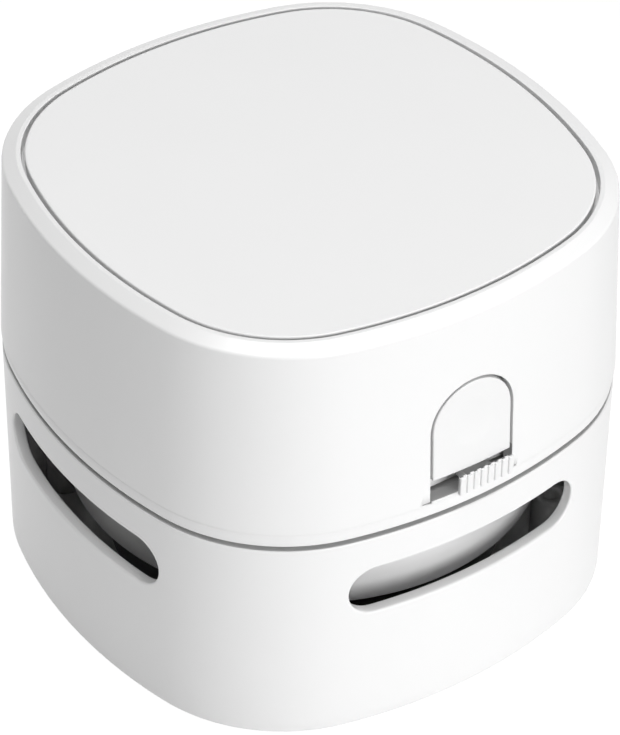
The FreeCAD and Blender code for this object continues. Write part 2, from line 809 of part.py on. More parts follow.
def deck_holes():
    """The motor's seat, the screw bores and the notches for the seat ribs."""
    bore = screw_radius + thread_play
    holes = [flat_can(can_z, top_z, motor_play),
             post(motor_boss_radius + motor_play, deck_z - past, deck_top)]
    holes += [post(bore, inlet_z, deck_z - pillar_skin, x, y) for x, y in pillar_places()]
    holes += [post(bore, tray_z - screw_length, tray_z, side * tray_pillar_x, 0) for side in SIDES]
    holes += [post(screw_radius + screw_play, deck_z - past, deck_top + past,
                   sx * screw_place, sy * screw_place) for sx, sy in CORNERS]
    return holes + [rib(place, seat_gap) for place in rib_places()]


def switch_pocket():
    """Three-sided pocket that holds the switch at the front edge of the deck."""
    half = switch_half_length + seat_play
    low, high = switch_z - seat_play, switch_z + switch_height - pocket_short
    back = switch_back + seat_play
    front = switch_front + pocket_open
    block = box(-half - pocket_wall, half + pocket_wall, front, back + pocket_wall,
                low - pocket_wall / 2, high)
    foot = box(-half - pocket_wall, half + pocket_wall, switch_back,
               switch_back + pocket_wall + pocket_foot, deck_z, deck_top)
    pocket = joined([block, foot]).cut(box(-half, half, front - past, back, low, high + past))
    return pocket.translated(controls_place)


def battery_tray():
    """Cradle for two cells, one each side of the motor's well."""
    floor = box(-tray_half_x, tray_half_x, -tray_half_y, tray_half_y, tray_z, tray_z + tray_floor)
    floor = floor.makeFillet(tray_corner, [e for e in floor.Edges if e.BoundBox.ZLength > bond])
    well = flat_can(tray_z, tray_z + well_height, motor_play + tray_wall)
    pieces = [floor, well, spring_seat()]
    hollows = [flat_can(tray_z - past, top_z, motor_play)]
    for side in SIDES:
        y = side * cell_y
        cradle = rod_x(trough_outer, -tray_half_x, tray_half_x, y, cell_z)
        pieces.append(cradle.common(box(-tray_half_x, tray_half_x, y - trough_outer, y + trough_outer,
                                        tray_z, cell_z - cradle_drop)))
        pieces += [tray_end(way, y) for way in SIDES]
        hollows.append(rod_x(trough_inner, -tray_half_x + end_wall, tray_half_x - end_wall, y, cell_z))
        hollows.append(post(screw_radius + screw_play, tray_z - past, tray_z + tray_floor + past,
                            side * tray_pillar_x, 0))
    strip_low = cell_z - contact_width / 2 - seat_play
    hollows.append(box(bay_half, bay_half + contact_plate, -cell_y, cell_y, strip_low, cell_z))
    return joined(pieces).cut(hollows)


def tray_end(way, y):
    """Upright behind one end of a cell."""
    x0, x1 = sorted((way * (tray_half_x - end_wall), way * tray_half_x))
    return box(x0, x1, y - end_wall_half, y + end_wall_half, tray_z, tray_z + end_wall_height)


def spring_seat():
    """Upright at the front of the tray that the button's spring bears on."""
    return box(-spring_seat_half, spring_seat_half, -tray_half_y - tray_wall, -tray_half_y + past,
               tray_z, spring_height + spring_seat_rise)


def deck_screws():
    return group([screw(sx * screw_place, sy * screw_place, deck_z) for sx, sy in CORNERS])


def tray_screws():
    return group([screw(side * tray_pillar_x, 0, tray_z + tray_floor, screw_length, False)
                  for side in SIDES])


# ---- cells and contacts ----
def cell(side):
    """AA cell lying along X; the two point opposite ways."""
    nub_end = bay_half - seat_play
    body_end = nub_end - cell_nub_height
    body = rod_x(cell_radius, nub_end - cell_length, body_end, 0, 0)
    solid = joined([body, rod_x(cell_nub_radius, body_end - bond, nub_end, 0, 0)])
    if side > 0:
        solid.rotate(Vec(0, 0, 0), Vec(0, 0, 1), 180)
    solid.translate(Vec(0, side * cell_y, cell_z))
    return solid


def contact(x_side, y_side):
    """A plate on the end wall, behind one end of a cell."""
    x0, x1 = sorted((x_side * bay_half, x_side * (bay_half + contact_plate - contact_play)))
    y = y_side * cell_y
    half = contact_width / 2
    return box(x0, x1, y - half, y + half, cell_z - half, cell_z + half)


def series_contact():
    """One strip that joins the two cells at the +X end of the tray."""
    strip_z = cell_z - contact_width / 2
    link = box(bay_half, bay_half + contact_plate - contact_play, -cell_y, cell_y,
               strip_z, strip_z + strip_height)
    return joined([contact(1, -1), contact(1, 1), link])


def end_contacts():
    return group([contact(-1, -1), contact(-1, 1)])


def contact_springs():
    """Bent leaves that press on the flat end of each cell."""
    rise = contact_room - 2 * contact_plate
    springs = []
    for side in SIDES:
        spring = leaf(contact_width, rise, contact_width / 2, contact_plate / 2)
        spring.translate(Vec(-contact_width / 2, 0, 0))
        spring.rotate(Vec(0, 0, 0), Vec(0, 1, 0), 90 * -side)
        spring.translate(Vec(side * (bay_half - contact_play), side * cell_y, cell_z))
        springs.append(spring)
    return group(springs)


# ---- upper housing ----
def rib_places():
    """Middle of each seat rib, as a turn about Z and a distance along the side."""
    away = screw_place - rib_offset
    return [(turn, along) for turn in (0, 90, 180, 270) for along in (-away, away)]


def rib(place, play=0.0):
    """A short rib inside the upper shell that stands on the spigot, or its notch in the deck."""
    turn, along = place
    half = tray_wall / 2 + play
    low = spigot_top + seat_gap - play
    high = low + rib_height + 2 * play
    solid = box(along - half, along + half, -half_width, 0, low, high).common(wall_core(low, high))
    solid = solid.cut(slab(spigot_inner + play, low - past, high + past))
    solid.rotate(Vec(0, 0, 0), Vec(0, 0, 1), turn)
    return solid


def housing_boss(sx, sy):
    """Screw boss in a corner of the upper shell, between the deck and the tray."""
    x, y = sx * screw_place, sy * screw_place
    low, high = deck_top + seat_play, tray_z - seat_play
    web = box(0, corner_inset, -tray_wall / 2, tray_wall / 2, low, high)
    web.rotate(Vec(0, 0, 0), Vec(0, 0, 1), math.degrees(math.atan2(sy, sx)))
    web.translate(Vec(x, y, 0))
    boss = joined([post(boss_radius, low, high, x, y), web]).common(wall_core(low, high))
    return boss.cut(post(screw_radius + thread_play, low - past, low + screw_length, x, y))


def yoke_boss(side):
    """Boss behind the front wall that the latch is screwed to."""
    x, z = side * yoke_leg_x, yoke_top - yoke_top_bar / 2
    boss = rod_y(latch_boss_radius, -half_width, yoke_front - seat_play, x, z)
    boss = boss.common(wall_core(upper_z, top_z))
    return boss.cut(rod_y(screw_radius + thread_play, yoke_front - latch_grip - seat_play,
                          yoke_front, x, z))


def upper_shell():
    """Bowed housing that leans in to a shallow shoulder, with a recess for the cover."""
    bevel_foot = shoulder_z - shoulder_bevel
    bevel_top = shoulder_z + shoulder_bevel * shoulder_height / shoulder_width
    body = stack((skirt_inset, upper_z), (0, skirt_z), (lean(bevel_foot), bevel_foot),
                 (wall_lean + shoulder_bevel, bevel_top), (wall_lean + shoulder_width, top_z))
    hollow_top = ledge_z - ledge_thickness
    body = body.cut(stack((upper_wall, upper_z - past), (upper_wall, deck_top + seat_play),
                          (upper_wall + lean(hollow_top), hollow_top)))
    body = body.cut([slab(recess_inset, ledge_z, top_z + past),
                     slab(opening_inset, hollow_top - past, top_z)])
    extras = [rib(place) for place in rib_places()]
    extras += [housing_boss(sx, sy) for sx, sy in CORNERS]
    extras += [yoke_boss(side) for side in SIDES]
    body = joined([body] + extras)
    half = button_half_width + button_gap
    window = arch(half, slot_foot, button_arch, -half_width - past, yoke_front)
    ticks = [box(side * half - tick_length, side * half + tick_length, -half_width - past,
                 -half_width + upper_wall / 2, slot_foot - tick_height, slot_foot + bond)
             for side in SIDES]
    return body.cut([cut.translated(controls_place) for cut in [window] + ticks])


def battery_cover():
    """Flat lid in the top, with a locating lip and two stiffening ribs below."""
    plate = slab(cover_inset, cover_under, top_z)
    plate = plate.makeChamfer(edge_bevel, edges_at(plate, top_z))
    lip_inset = opening_inset + lip_play
    lip = slab(lip_inset, cover_under - lip_depth, cover_under)
    lip = lip.cut(slab(lip_inset + lip_wall, cover_under - lip_depth, cover_under))
    reach = half_width - lip_inset - lip_wall / 2
    ribs = [box(-reach, reach, y - tray_wall / 2, y + tray_wall / 2,
                cover_under - lid_rib_depth, cover_under) for y in (-motor_depth / 2, motor_depth / 2)]
    return joined([plate, lip] + ribs)


def cover_pads():
    """Foam strips that keep the cells from rattling."""
    return group([box(-pad_half_length, pad_half_length, side * cell_y - pad_half_width,
                      side * cell_y + pad_half_width, cover_under - lip_depth, cover_under)
                  for side in SIDES])


# ---- release button and latch ----
def release_button():
    """Arched push button in the curve of the front wall, with a dished face and a flange."""
    face = arch(button_half_width - button_gap, button_foot, button_arch,
                -half_width - past, button_back + past).translated(controls_place)
    face = face.common(front_band(0, button_thickness + flange_thickness))
    flange = arch(button_half_width + flange_overlap, button_foot + flange_lift, button_arch,
                  -half_width, button_back + past).translated(controls_place)
    flange = flange.common(front_band(button_thickness, button_thickness + flange_thickness))
    sphere_radius = (dish_radius**2 + dish_depth**2) / (2 * dish_depth)
    away = sphere_radius - dish_depth
    dish = Part.makeSphere(sphere_radius, Vec(0, lean(button_arch) - half_width - away,
                                              button_arch + away * lean_slope))
    stem = box(-stem_half_width, stem_half_width, button_back - flange_thickness,
               yoke_front - yoke_gap, stem_height - stem_half, stem_height + stem_half)
    dish, stem = [solid.translated(controls_place) for solid in (dish, stem)]
    return joined([face, flange, stem]).cut(dish)


def button_spring():
    """Six-sided bow of spring strip between the button and the front of the tray."""
    room = -tray_half_y - tray_wall - button_back - 2 * seat_play
    across = Vec(0, spring_width, 0)
    outer = bow_outline(spring_half, room / 2)
    inner = outer.makeOffset2D(-spring_thickness, 2)
    spring = outer.extrude(across).cut(inner.extrude(across))
    spring.translate(Vec(0, -spring_width / 2, 0))
    spring.rotate(Vec(0, 0, 0), Vec(1, 0, 0), 90)
    spring.translate(Vec(0, button_back + seat_play + room / 2, spring_height))
    return spring


def bow_outline(half, rise):
    """Face of a bridge and its mirror image, joined at their feet."""
    upper = [p - Vec(half, 0, 0) for p in bridge(2 * half, rise)]
    lower = [Vec(p.x, 0, -p.z) for p in reversed(upper[1:3])]
    return Part.Face(Part.makePolygon(upper + lower + upper[:1]))


def latch_yoke():
    """Springy frame behind the button: its legs end in hooks under the spigot's ledge."""
    y0, y1 = yoke_front, yoke_front + yoke_thickness
    out = yoke_leg_x + yoke_leg_half
    hook_top = spigot_foot - seat_gap
    foot = hook_top - hook_height
    pieces = [box(-out, out, y0, y1, yoke_top - yoke_top_bar, yoke_top)]
    pieces.append(box(-out, out, y0, y1, stem_height - yoke_bar_half, stem_height + yoke_bar_half))
    for side in SIDES:
        x0, x1 = sorted((side * (yoke_leg_x - yoke_leg_half), side * out))
        pieces.append(box(x0, x1, y0, y1, foot, yoke_top))
        ledge_y = side_centre - math.sqrt((side_radius - spigot_inner) ** 2 - yoke_leg_x**2)
        tip = ledge_y - hook_reach
        inside = y0 + bond
        wedge = Part.makePolygon([Vec(x0, inside, foot), Vec(x0, y0 - hook_root, foot),
                                  Vec(x0, tip, hook_top - hook_nose), Vec(x0, tip, hook_top),
                                  Vec(x0, inside, hook_top), Vec(x0, inside, foot)])
        pieces.append(Part.Face(wedge).extrude(Vec(x1 - x0, 0, 0)))
    yoke = joined(pieces)
    for side in SIDES:
        x, z = side * yoke_leg_x, yoke_top - yoke_top_bar / 2
        yoke = yoke.cut(rod_y(screw_radius + thread_play, y0 - past, y1 + past, x, z))
    return yoke


def latch_screws():
    """Two screws through the top bar of the latch, driven forwards."""
    screws = []
    for side in SIDES:
        one = screw(0, 0, 0, yoke_thickness + latch_grip, True, yoke_top_bar / 2)
        one.rotate(Vec(0, 0, 0), Vec(1, 0, 0), 90)
        one.translate(Vec(side * yoke_leg_x, yoke_front + yoke_thickness, yoke_top - yoke_top_bar / 2))
        screws.append(one)
    return group(screws)


# ---- slide switch ----
def switch_knob():
    """Ribbed slider: a thin cap before the slot, on a neck from the carrier behind the wall."""
    right = knob_left + knob_width
    face = -half_width - knob_proud
    low = slot_foot + knob_play
    cap = box(knob_left, right, face, face + knob_cap, low, low + knob_height)
    cap = cap.makeFillet(knob_round, [e for e in cap.Edges if e.BoundBox.YMax < face + bond])
    grooves = []
    for i in range(knob_ribs - 1):
        x = knob_left + knob_width / 2 + (i - (knob_ribs - 2) / 2) * knob_rib_pitch
        grooves.append(box(x - knob_groove / 2, x + knob_groove / 2, face - past,
                           face + knob_groove_depth, low - past, low + knob_height + past))
    neck = box(knob_middle - neck_half_width, knob_middle + neck_half_width,
               face + knob_cap - bond, carrier_front + bond, low, low + neck_height)
    reach = button_half_width + button_gap + carrier_overlap
    carrier = box(controls_x - reach, controls_x + reach + knob_travel, carrier_front, carrier_back,
                  slot_foot - carrier_below, button_foot - carrier_play)
    return joined([cap.cut(grooves), neck, carrier])


def switch_lever():
    return box(knob_middle - lever_half, knob_middle + lever_half, carrier_back,
               switch_back - switch_depth / 2, lever_z - lever_half, lever_z + lever_half)


def switch_body():
    """Slide switch with the slot that its lever runs in."""
    body = box(-switch_half_length, switch_half_length, switch_front, switch_back,
               switch_z, switch_z + switch_height)
    run = knob_travel / 2 + lever_half + lever_play
    slot = box(-run, run, switch_front - past, switch_back - switch_depth / 2 + lever_play,
               lever_z - lever_half - lever_play, lever_z + lever_half + lever_play)
    return body.cut(slot).translated(controls_place)


def switch_terminals():
    top = switch_z + switch_height
    half = pin_width / 2
    back = switch_back - pin_inset
    pins = [box(x - half, x + half, back - pin_thickness, back, top, top + pin_length)
            for x in (-pin_pitch, 0, pin_pitch)]
    return group(pins).translated(controls_place)


PIECES = {
    "lower_shell": lower_shell,
    "base_plate": base_plate,
    "inlet_throat": inlet_throat,
    "dust_cup": dust_cup,
    "filter_collar": filter_collar,
    "brush_bar_front": lambda: brush_bar(-1),
    "brush_bar_rear": lambda: brush_bar(1),
    "bristles_front": lambda: bristles(-1),
    "bristles_rear": lambda: bristles(1),
    "glides": glides,
    "base_screws": base_screws,
    "filter_frame": filter_frame,
    "filter_medium": filter_medium,
    "fan_cover": fan_cover,
    "fan_cover_screws": fan_cover_screws,
    "cup_seal": cup_seal,
    "impeller": impeller,
    "motor_shaft": motor_shaft,
    "motor_can": motor_can,
    "motor_end_cap": motor_end_cap,
    "motor_terminals": motor_terminals,
    "motor_bushes": motor_bushes,
    "motor_deck": motor_deck,
    "deck_screws": deck_screws,
    "battery_tray": battery_tray,
    "tray_screws": tray_screws,
    "cell_front": lambda: cell(-1),
    "cell_rear": lambda: cell(1),
    "series_contact": series_contact,
    "end_contacts": end_contacts,
    "contact_springs": contact_springs,
    "upper_shell": upper_shell,
    "battery_cover": battery_cover,
    "cover_pads": cover_pads,
    "release_button": release_button,
    "button_spring": button_spring,
    "latch_yoke": latch_yoke,
    "latch_screws": latch_screws,
    "switch_knob": switch_knob,
    "switch_lever": switch_lever,
    "switch_body": switch_body,
    "switch_terminals": switch_terminals,
}

os.makedirs("parts", exist_ok=True)
for name, make in PIECES.items():
    make().exportStep("parts/" + name + ".step")
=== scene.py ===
import contextlib
import json
import math

import bmesh
import bpy
from mathutils import Matrix, Vector

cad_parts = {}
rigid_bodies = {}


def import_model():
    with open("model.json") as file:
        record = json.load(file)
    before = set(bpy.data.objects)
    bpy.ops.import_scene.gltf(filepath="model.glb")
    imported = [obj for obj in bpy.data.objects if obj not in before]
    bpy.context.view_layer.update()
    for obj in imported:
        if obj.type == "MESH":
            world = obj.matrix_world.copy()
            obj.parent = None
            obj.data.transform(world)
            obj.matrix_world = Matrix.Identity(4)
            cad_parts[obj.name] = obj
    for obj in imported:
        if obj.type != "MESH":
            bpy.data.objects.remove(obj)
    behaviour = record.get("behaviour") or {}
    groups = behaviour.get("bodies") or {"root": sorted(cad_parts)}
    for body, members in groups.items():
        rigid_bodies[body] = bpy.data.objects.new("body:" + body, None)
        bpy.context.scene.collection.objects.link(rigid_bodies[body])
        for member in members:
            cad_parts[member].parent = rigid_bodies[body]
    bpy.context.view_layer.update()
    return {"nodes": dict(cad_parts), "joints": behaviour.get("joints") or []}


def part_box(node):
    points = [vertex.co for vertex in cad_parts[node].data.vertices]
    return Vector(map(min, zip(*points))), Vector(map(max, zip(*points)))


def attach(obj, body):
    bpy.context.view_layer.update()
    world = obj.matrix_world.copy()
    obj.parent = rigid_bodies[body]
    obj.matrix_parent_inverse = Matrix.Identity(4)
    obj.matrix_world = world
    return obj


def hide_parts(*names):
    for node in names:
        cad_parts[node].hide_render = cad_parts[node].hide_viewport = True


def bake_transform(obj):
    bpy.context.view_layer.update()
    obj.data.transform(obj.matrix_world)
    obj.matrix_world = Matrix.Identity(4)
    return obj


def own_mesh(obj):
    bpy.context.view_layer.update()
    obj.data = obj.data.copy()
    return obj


bl_info = {
    "name": "Desktop mini vacuum cleaner",
    "version": (1, 0, 0),
    "blender": (4, 5, 0),
    "location": "3D View > Sidebar > Cleaner",
    "description": "Builds the finished surfaces of a palm-sized vacuum cleaner round its packed frame",
    "category": "Object",
}

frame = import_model()
NODES = frame["nodes"]
MM = 0.001
FINE = 0.1 * MM  # overlap of two joined solids, and smallest step between two loops
HOLD = 1.6  # place of the loop that holds a rounded lip, in radii of that lip
TINY = 1e-9  # slack when two places are compared
WELD = 1e-7  # points that are closer than this are merged
SIDES = (-1, 1)
FULL_TURN = 2 * math.pi

UPPER_LOW, UPPER_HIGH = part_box("upper_shell")
LOWER_LOW, LOWER_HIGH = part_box("lower_shell")
COVER_LOW, COVER_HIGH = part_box("battery_cover")
BUTTON_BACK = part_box("release_button")[1].y
KNOB_LOW, KNOB_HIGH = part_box("switch_knob")
CUP_LOW, CUP_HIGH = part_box("dust_cup")
COLLAR_LOW, COLLAR_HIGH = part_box("filter_collar")
FAN_LOW, FAN_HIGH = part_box("impeller")
YOKE_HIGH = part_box("latch_yoke")[1]
SPRING_LOW, SPRING_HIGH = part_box("button_spring")
MIDDLE = Vector((0, 0, UPPER_HIGH.z / 2))


# ---- sizes and colours that a user would change ----
def length(name, description, millimetres):
    return bpy.props.FloatProperty(name=name, description=description, default=millimetres * MM,
                                   unit="LENGTH", precision=5)


def angle(name, description, degrees):
    return bpy.props.FloatProperty(name=name, description=description,
                                   default=math.radians(degrees), subtype="ANGLE")


def number(name, description, default):
    return bpy.props.FloatProperty(name=name, description=description, default=default)


def count(name, description, default):
    return bpy.props.IntProperty(name=name, description=description, default=default, min=1)


def colour(name, description, *levels):
    """Three levels give a colour, and one level gives a grey."""
    default = levels if len(levels) == 3 else levels * 3
    return bpy.props.FloatVectorProperty(name=name, description=description, subtype="COLOR",
                                         size=3, min=0.0, max=1.0, default=default)


class OutlineSizes(bpy.types.PropertyGroup):
    side_radius: length("Side radius", "Radius of the bowed sides", 75.6)
    corner_radius: length("Corner radius", "Radius of the round corners", 25.3)
    patch_half: length("Patch half", "Half of the stretch of a side that may be pierced", 24)


class UpperSizes(bpy.types.PropertyGroup):
    wall: length("Wall", "Thickness of the upper wall", 2.0)
    wall_lean: length("Wall lean", "How far the wall leans in on its way up", 1.4)
    skirt_height: length("Skirt height", "Height of the bevel round the foot", 2.3)
    skirt_inset: length("Skirt inset", "Depth of the bevel round the foot", 0.25)
    shoulder_width: length("Shoulder width", "Width of the shallow bevel round the top", 2.0)
    shoulder_height: length("Shoulder height", "Height of the bevel round the top", 0.9)
    shoulder_round: length("Shoulder round", "Radius between the wall and that bevel", 0.5)
    rim_land: length("Rim land", "Flat rim outside the cover's gap", 0.65)
    cover_gap: length("Cover gap", "Gap round the battery cover", 0.55)
    cover_thickness: length("Cover thickness", "Thickness of the battery cover", 1.8)
    cover_rest: length("Cover rest", "Cover to its shelf", 0.2)
    ledge_width: length("Ledge width", "Shelf under the edge of the cover", 2.55)
    ledge_thickness: length("Ledge thickness", "Thickness of that shelf", 1.8)
    lip_play: length("Lip play", "Shelf to the lip under the cover", 0.3)
    lip_wall: length("Lip wall", "Thickness of the lip under the cover", 1.2)
    lid_rib: length("Lid rib", "Depth of the ribs under the cover", 0.8)
    edge_round: length("Edge round", "Radius on the moulded edges", 0.3)


class LowerSizes(bpy.types.PropertyGroup):
    wall: length("Wall", "Thickness of the lower wall", 1.8)
    spigot_height: length("Spigot height", "Height of the spigot", 2.7)
    spigot_play: length("Spigot play", "Spigot to the upper shell", 0.3)
    spigot_thickness: length("Spigot thickness", "Thickness of the spigot", 1.6)
    spigot_ledge: length("Spigot ledge", "Ledge under the spigot", 1.1)
    vent_half_length: length("Vent half length", "Half length of an exhaust vent", 18.9)
    vent_height: length("Vent height", "Height of an exhaust vent", 7.9)
    vent_middle: length("Vent middle", "Middle of a vent above the bottom edge", 23.85)
    vent_lip: length("Vent lip", "Radius round the mouth of a vent", 0.35)


class ControlSizes(bpy.types.PropertyGroup):
    middle: length("Middle", "Middle of the controls along the front", -0.8)
    window_half: length("Window half", "Half width of the button's window", 6.77)
    window_foot: length("Window foot", "Foot of the slot above the foot of the housing", 2.55)
    window_lip: length("Window lip", "Radius round the window", 0.08)
    button_gap: length("Button gap", "Line round the button", 0.44)
    button_thickness: length("Button thickness", "Thickness of the button's face", 2.4)
    button_foot: length("Button foot", "Foot of the button above the foot of the slot", 3.4)
    button_round: length("Button round", "Radius round the button's face", 0.18)
    flange_half: length("Flange half", "Half width of the flange", 8.05)
    flange_lift: length("Flange lift", "Foot of the flange above the button's", 0.3)
    flange_thickness: length("Flange thickness", "Thickness of that flange", 1.2)
    straight: length("Straight sides", "Foot of the button to the centre of its arch", 7.6)
    dish_radius: length("Dish radius", "Radius of the finger dish", 4.0)
    dish_depth: length("Dish depth", "Depth of the finger dish", 0.35)
    stem_length: length("Stem length", "Length of the stem behind the button, with its root", 3.0)
    stem_half: length("Stem half", "Half height of the stem behind the button", 1.6)
    stem_half_width: length("Stem half width", "Half width of that stem", 3.0)
    stem_middle: length("Stem middle", "Stem above the foot of the button", 6.475)
    mark_length: length("Mark length", "Length of the mark on the left of the slot", 1.2)
    right_mark: length("Right mark", "Length of the mark on the right", 0.8)
    mark_height: length("Mark height", "Height of the marks beside the slot", 0.4)
    mark_depth: length("Mark depth", "Depth of the marks beside the slot", 3.0)


class KnobSizes(bpy.types.PropertyGroup):
    width: length("Width", "Width of the cap", 8.8)
    height: length("Height", "Height of the cap", 2.95)
    cap: length("Cap", "Thickness of the cap", 0.6)
    end_gap: length("End gap", "Cap to the end of its slot", 0.75)
    play: length("Play", "Cap to the foot of its slot", 0.1)
    ribs: count("Ribs", "Number of ribs across the cap", 8)
    groove: length("Groove", "Width of the grooves between the ribs", 0.45)
    groove_depth: length("Groove depth", "Depth of those grooves", 0.3)
    rib_round: length("Rib round", "Radius along the ribs", 0.14)
    neck_half_width: length("Neck half width", "Half width of the neck in the slot", 2.2)
    neck_height: length("Neck height", "Height of that neck", 1.4)
    carrier: length("Carrier", "Thickness of the carrier behind the wall", 1.0)
    chamfer_depth: length("Chamfer depth", "The carrier's ends are this much lower", 0.3)
    chamfer_width: length("Chamfer width", "Width of the slopes at the carrier's ends", 3.0)
    edge_round: length("Edge round", "Radius on the knob's edges", 0.07)


class InnerSizes(bpy.types.PropertyGroup):
    boss_radius: length("Boss radius", "Radius of the screw bosses", 2.8)
    boss_height: length("Boss height", "Height of the bosses in the base", 9.0)
    bore_radius: length("Bore radius", "Radius of their bores", 1.03)
    corner_inset: length("Corner inset", "Corner screws to the outer surface", 7.6)
    web: length("Web", "Thickness of webs and ribs", 1.2)
    web_reach: length("Web reach", "Middle of a corner boss to the end of its web", 6.1)
    rib_offset: length("Rib offset", "Seat ribs to the line of the screws", 5.0)
    rib_height: length("Rib height", "Height of the seat ribs", 9.0)
    rib_play: length("Rib play", "Spigot to the seat ribs", 0.2)
    rib_root: length("Rib root", "Depth of the ribs' roots in the wall", 0.7)
    deck: length("Deck", "Thickness of the deck, with its play", 1.7)
    latch_head: length("Latch head", "Radius of the heads of the latch screws", 1.5)
    latch_boss: length("Latch boss", "Radius of the bosses behind the front", 2.25)
    latch_place: length("Latch place", "Latch screws from the middle", 13.0)
    yoke_fixed: length("Yoke fixed", "Top of the latch, which stays with the housing", 4.0)
    yoke_bend: length("Yoke bend", "Height of the legs that bend, below that", 6.3)
    yoke_plate: length("Yoke plate", "Thickness of the latch where it is screwed on", 1.2)
    head_radius: length("Head radius", "Radius of a screw head", 1.9)
    head_height: length("Head height", "Height of a screw head", 1.1)
    screw_radius: length("Screw radius", "Radius of the screw threads", 1.0)
    fan_circle: length("Fan circle", "Screws of the fan's plate to its axis", 24)
    tray_span: length("Tray span", "Screws of the tray to its middle", 20)
    thread_pitch: length("Thread pitch", "Pitch of the screw threads", 0.6)
    nub_radius: length("Nub radius", "Radius of a cell's nub", 2.7)
    nub_height: length("Nub height", "Height of a cell's nub", 1.3)
    collar_wall: length("Collar wall", "Thickness of the bright collar", 1.4)
    cup_wall: length("Cup wall", "Thickness of the cup", 1.4)
    cup_floor: length("Cup floor", "Thickness of the cup's floor", 1.5)
    cup_flange: length("Cup flange", "Thickness of the cup's flange", 1.2)
    cup_step: length("Cup step", "Collar to the outside of the cup", 4.1)
    cup_draft: length("Cup draft", "The cup narrows by this much to its floor", 1.6)
    mouth_half_length: length("Mouth half length", "Half length of the hole in the cup", 18.15)
    mouth_half_width: length("Mouth half width", "Half width of the hole in the cup", 7.15)


class FanSizes(bpy.types.PropertyGroup):
    blades: count("Blades", "Number of blades", 9)
    start: length("Start", "Inner radius of the blades", 5.8)
    bow: length("Bow", "Radius that the blades are bent to", 13.0)
    thickness: length("Thickness", "Thickness of a blade", 0.9)
    plate: length("Plate", "Thickness of the plate over the blades", 1.0)
    hub: length("Hub", "Radius of the hub", 3.4)
    bore: length("Bore", "Radius of the bore", 1.03)
    hub_short: length("Hub short", "Hub above the foot of the blades", 0.6)
    eye: length("Eye", "Radius at which the blades start to shorten", 9.5)
    taper: length("Taper", "Blades are this much shorter at the rim", 2.1)


class BristleSizes(bpy.types.PropertyGroup):
    tufts: count("Tufts", "Tufts in a row", 13)
    strands: count("Strands", "Strands in a tuft", 16)
    tuft_radius: length("Tuft radius", "Radius of a tuft at its root", 0.42)
    strand_radius: length("Strand radius", "Radius of one strand", 0.07)
    splay: angle("Splay", "How far a strand may lean", 7)
    seed: count("Seed", "Seed of the strands' places", 7)


class FinishColours(bpy.types.PropertyGroup):
    housing: colour("Housing", "White of the shells", 0.84)
    cover: colour("Cover", "White of the battery cover", 0.86)
    control: colour("Controls", "White of the button and the knob", 0.81)
    # the carrier's grey is painted shade: the carrier is the knob's own white moulding, and the grey stands
    # in for the shade in the slot
    carrier: colour("Carrier", "Grey of the slider's carrier", 0.22)
    collar: colour("Collar", "Bright metal of the collar", 0.93)
    cup: colour("Cup", "Dark smoked plastic of the cup", 0.012)
    inner: colour("Inner", "Plastic of the inner pieces", 0.70, 0.70, 0.69)
    paper: colour("Paper", "Pleated paper of the filter", 0.86, 0.84, 0.77)
    rubber: colour("Rubber", "Seal, glides and pads", 0.045)
    nylon: colour("Nylon", "Bristles", 0.06, 0.06, 0.065)
    steel: colour("Steel", "Screws, can and contacts", 0.62, 0.63, 0.64)
    bronze: colour("Bronze", "Bushes", 0.62, 0.42, 0.22)
    sleeve: colour("Sleeve", "Sleeve of the cells", 0.10, 0.11, 0.13)


class StageSettings(bpy.types.PropertyGroup):
    azimuth: angle("Azimuth", "Turn of the camera", -35.4)
    elevation: angle("Elevation", "Rise of the camera", 38.49)
    roll: angle("Roll", "Roll of the camera", 0.85)
    distance: length("Distance", "Camera to the middle of the cleaner", 470.74)
    aside: length("Aside", "Aim beside the middle of the cleaner", 0.54)
    below: length("Below", "Aim below the middle of the cleaner", 2.11)
    lens: number("Lens", "Focal length in millimetres", 162.4)
    sensor: number("Sensor", "Width of the camera's sensor in millimetres", 36)
    lamp: number("Lamp", "Power of the high lamp in watts", 5.4)
    lamp_width: number("Lamp width", "Width of a lamp as a share of its distance", 0.75)
    lamp_height: number("Lamp height", "Height of a lamp as a share of its distance", 0.45)
    lamp_rise: angle("Lamp rise", "Rise of the high lamp", 89)
    lamp_away: length("Lamp away", "High lamp to the cleaner", 900)
    low_lamp: number("Low lamp", "Power of the low lamp in watts", 1.25)
    low_rise: angle("Low lamp rise", "Rise of the low lamp", 15)
    low_away: length("Low lamp away", "Low lamp to the cleaner", 450)
    low_turn: angle("Low lamp turn", "Turn of the low lamp from the front towards the right", 4)
    sky: number("Sky", "Strength of the even light", 0.22)
    paper: colour("Paper", "Colour of the floor", 0.80)
    glow: number("Glow", "Strength of the floor where the camera sees it", 1.15)
    glow_share: number("Glow share", "Share of that glow in what the camera sees", 0.85)
    floor_size: length("Floor size", "Middle of the floor to its edges", 4000)
    floor_below: length("Floor below", "Floor below the foot of the cleaner", 0.05)
    shade_start: length("Shade start", "Place on the right from which the floor is darker", 10)
    shade_reach: length("Shade reach", "Length over which the floor gets darker", 120)
    shade_depth: number("Shade depth", "Share of the floor's colour that is lost there", 0.7)


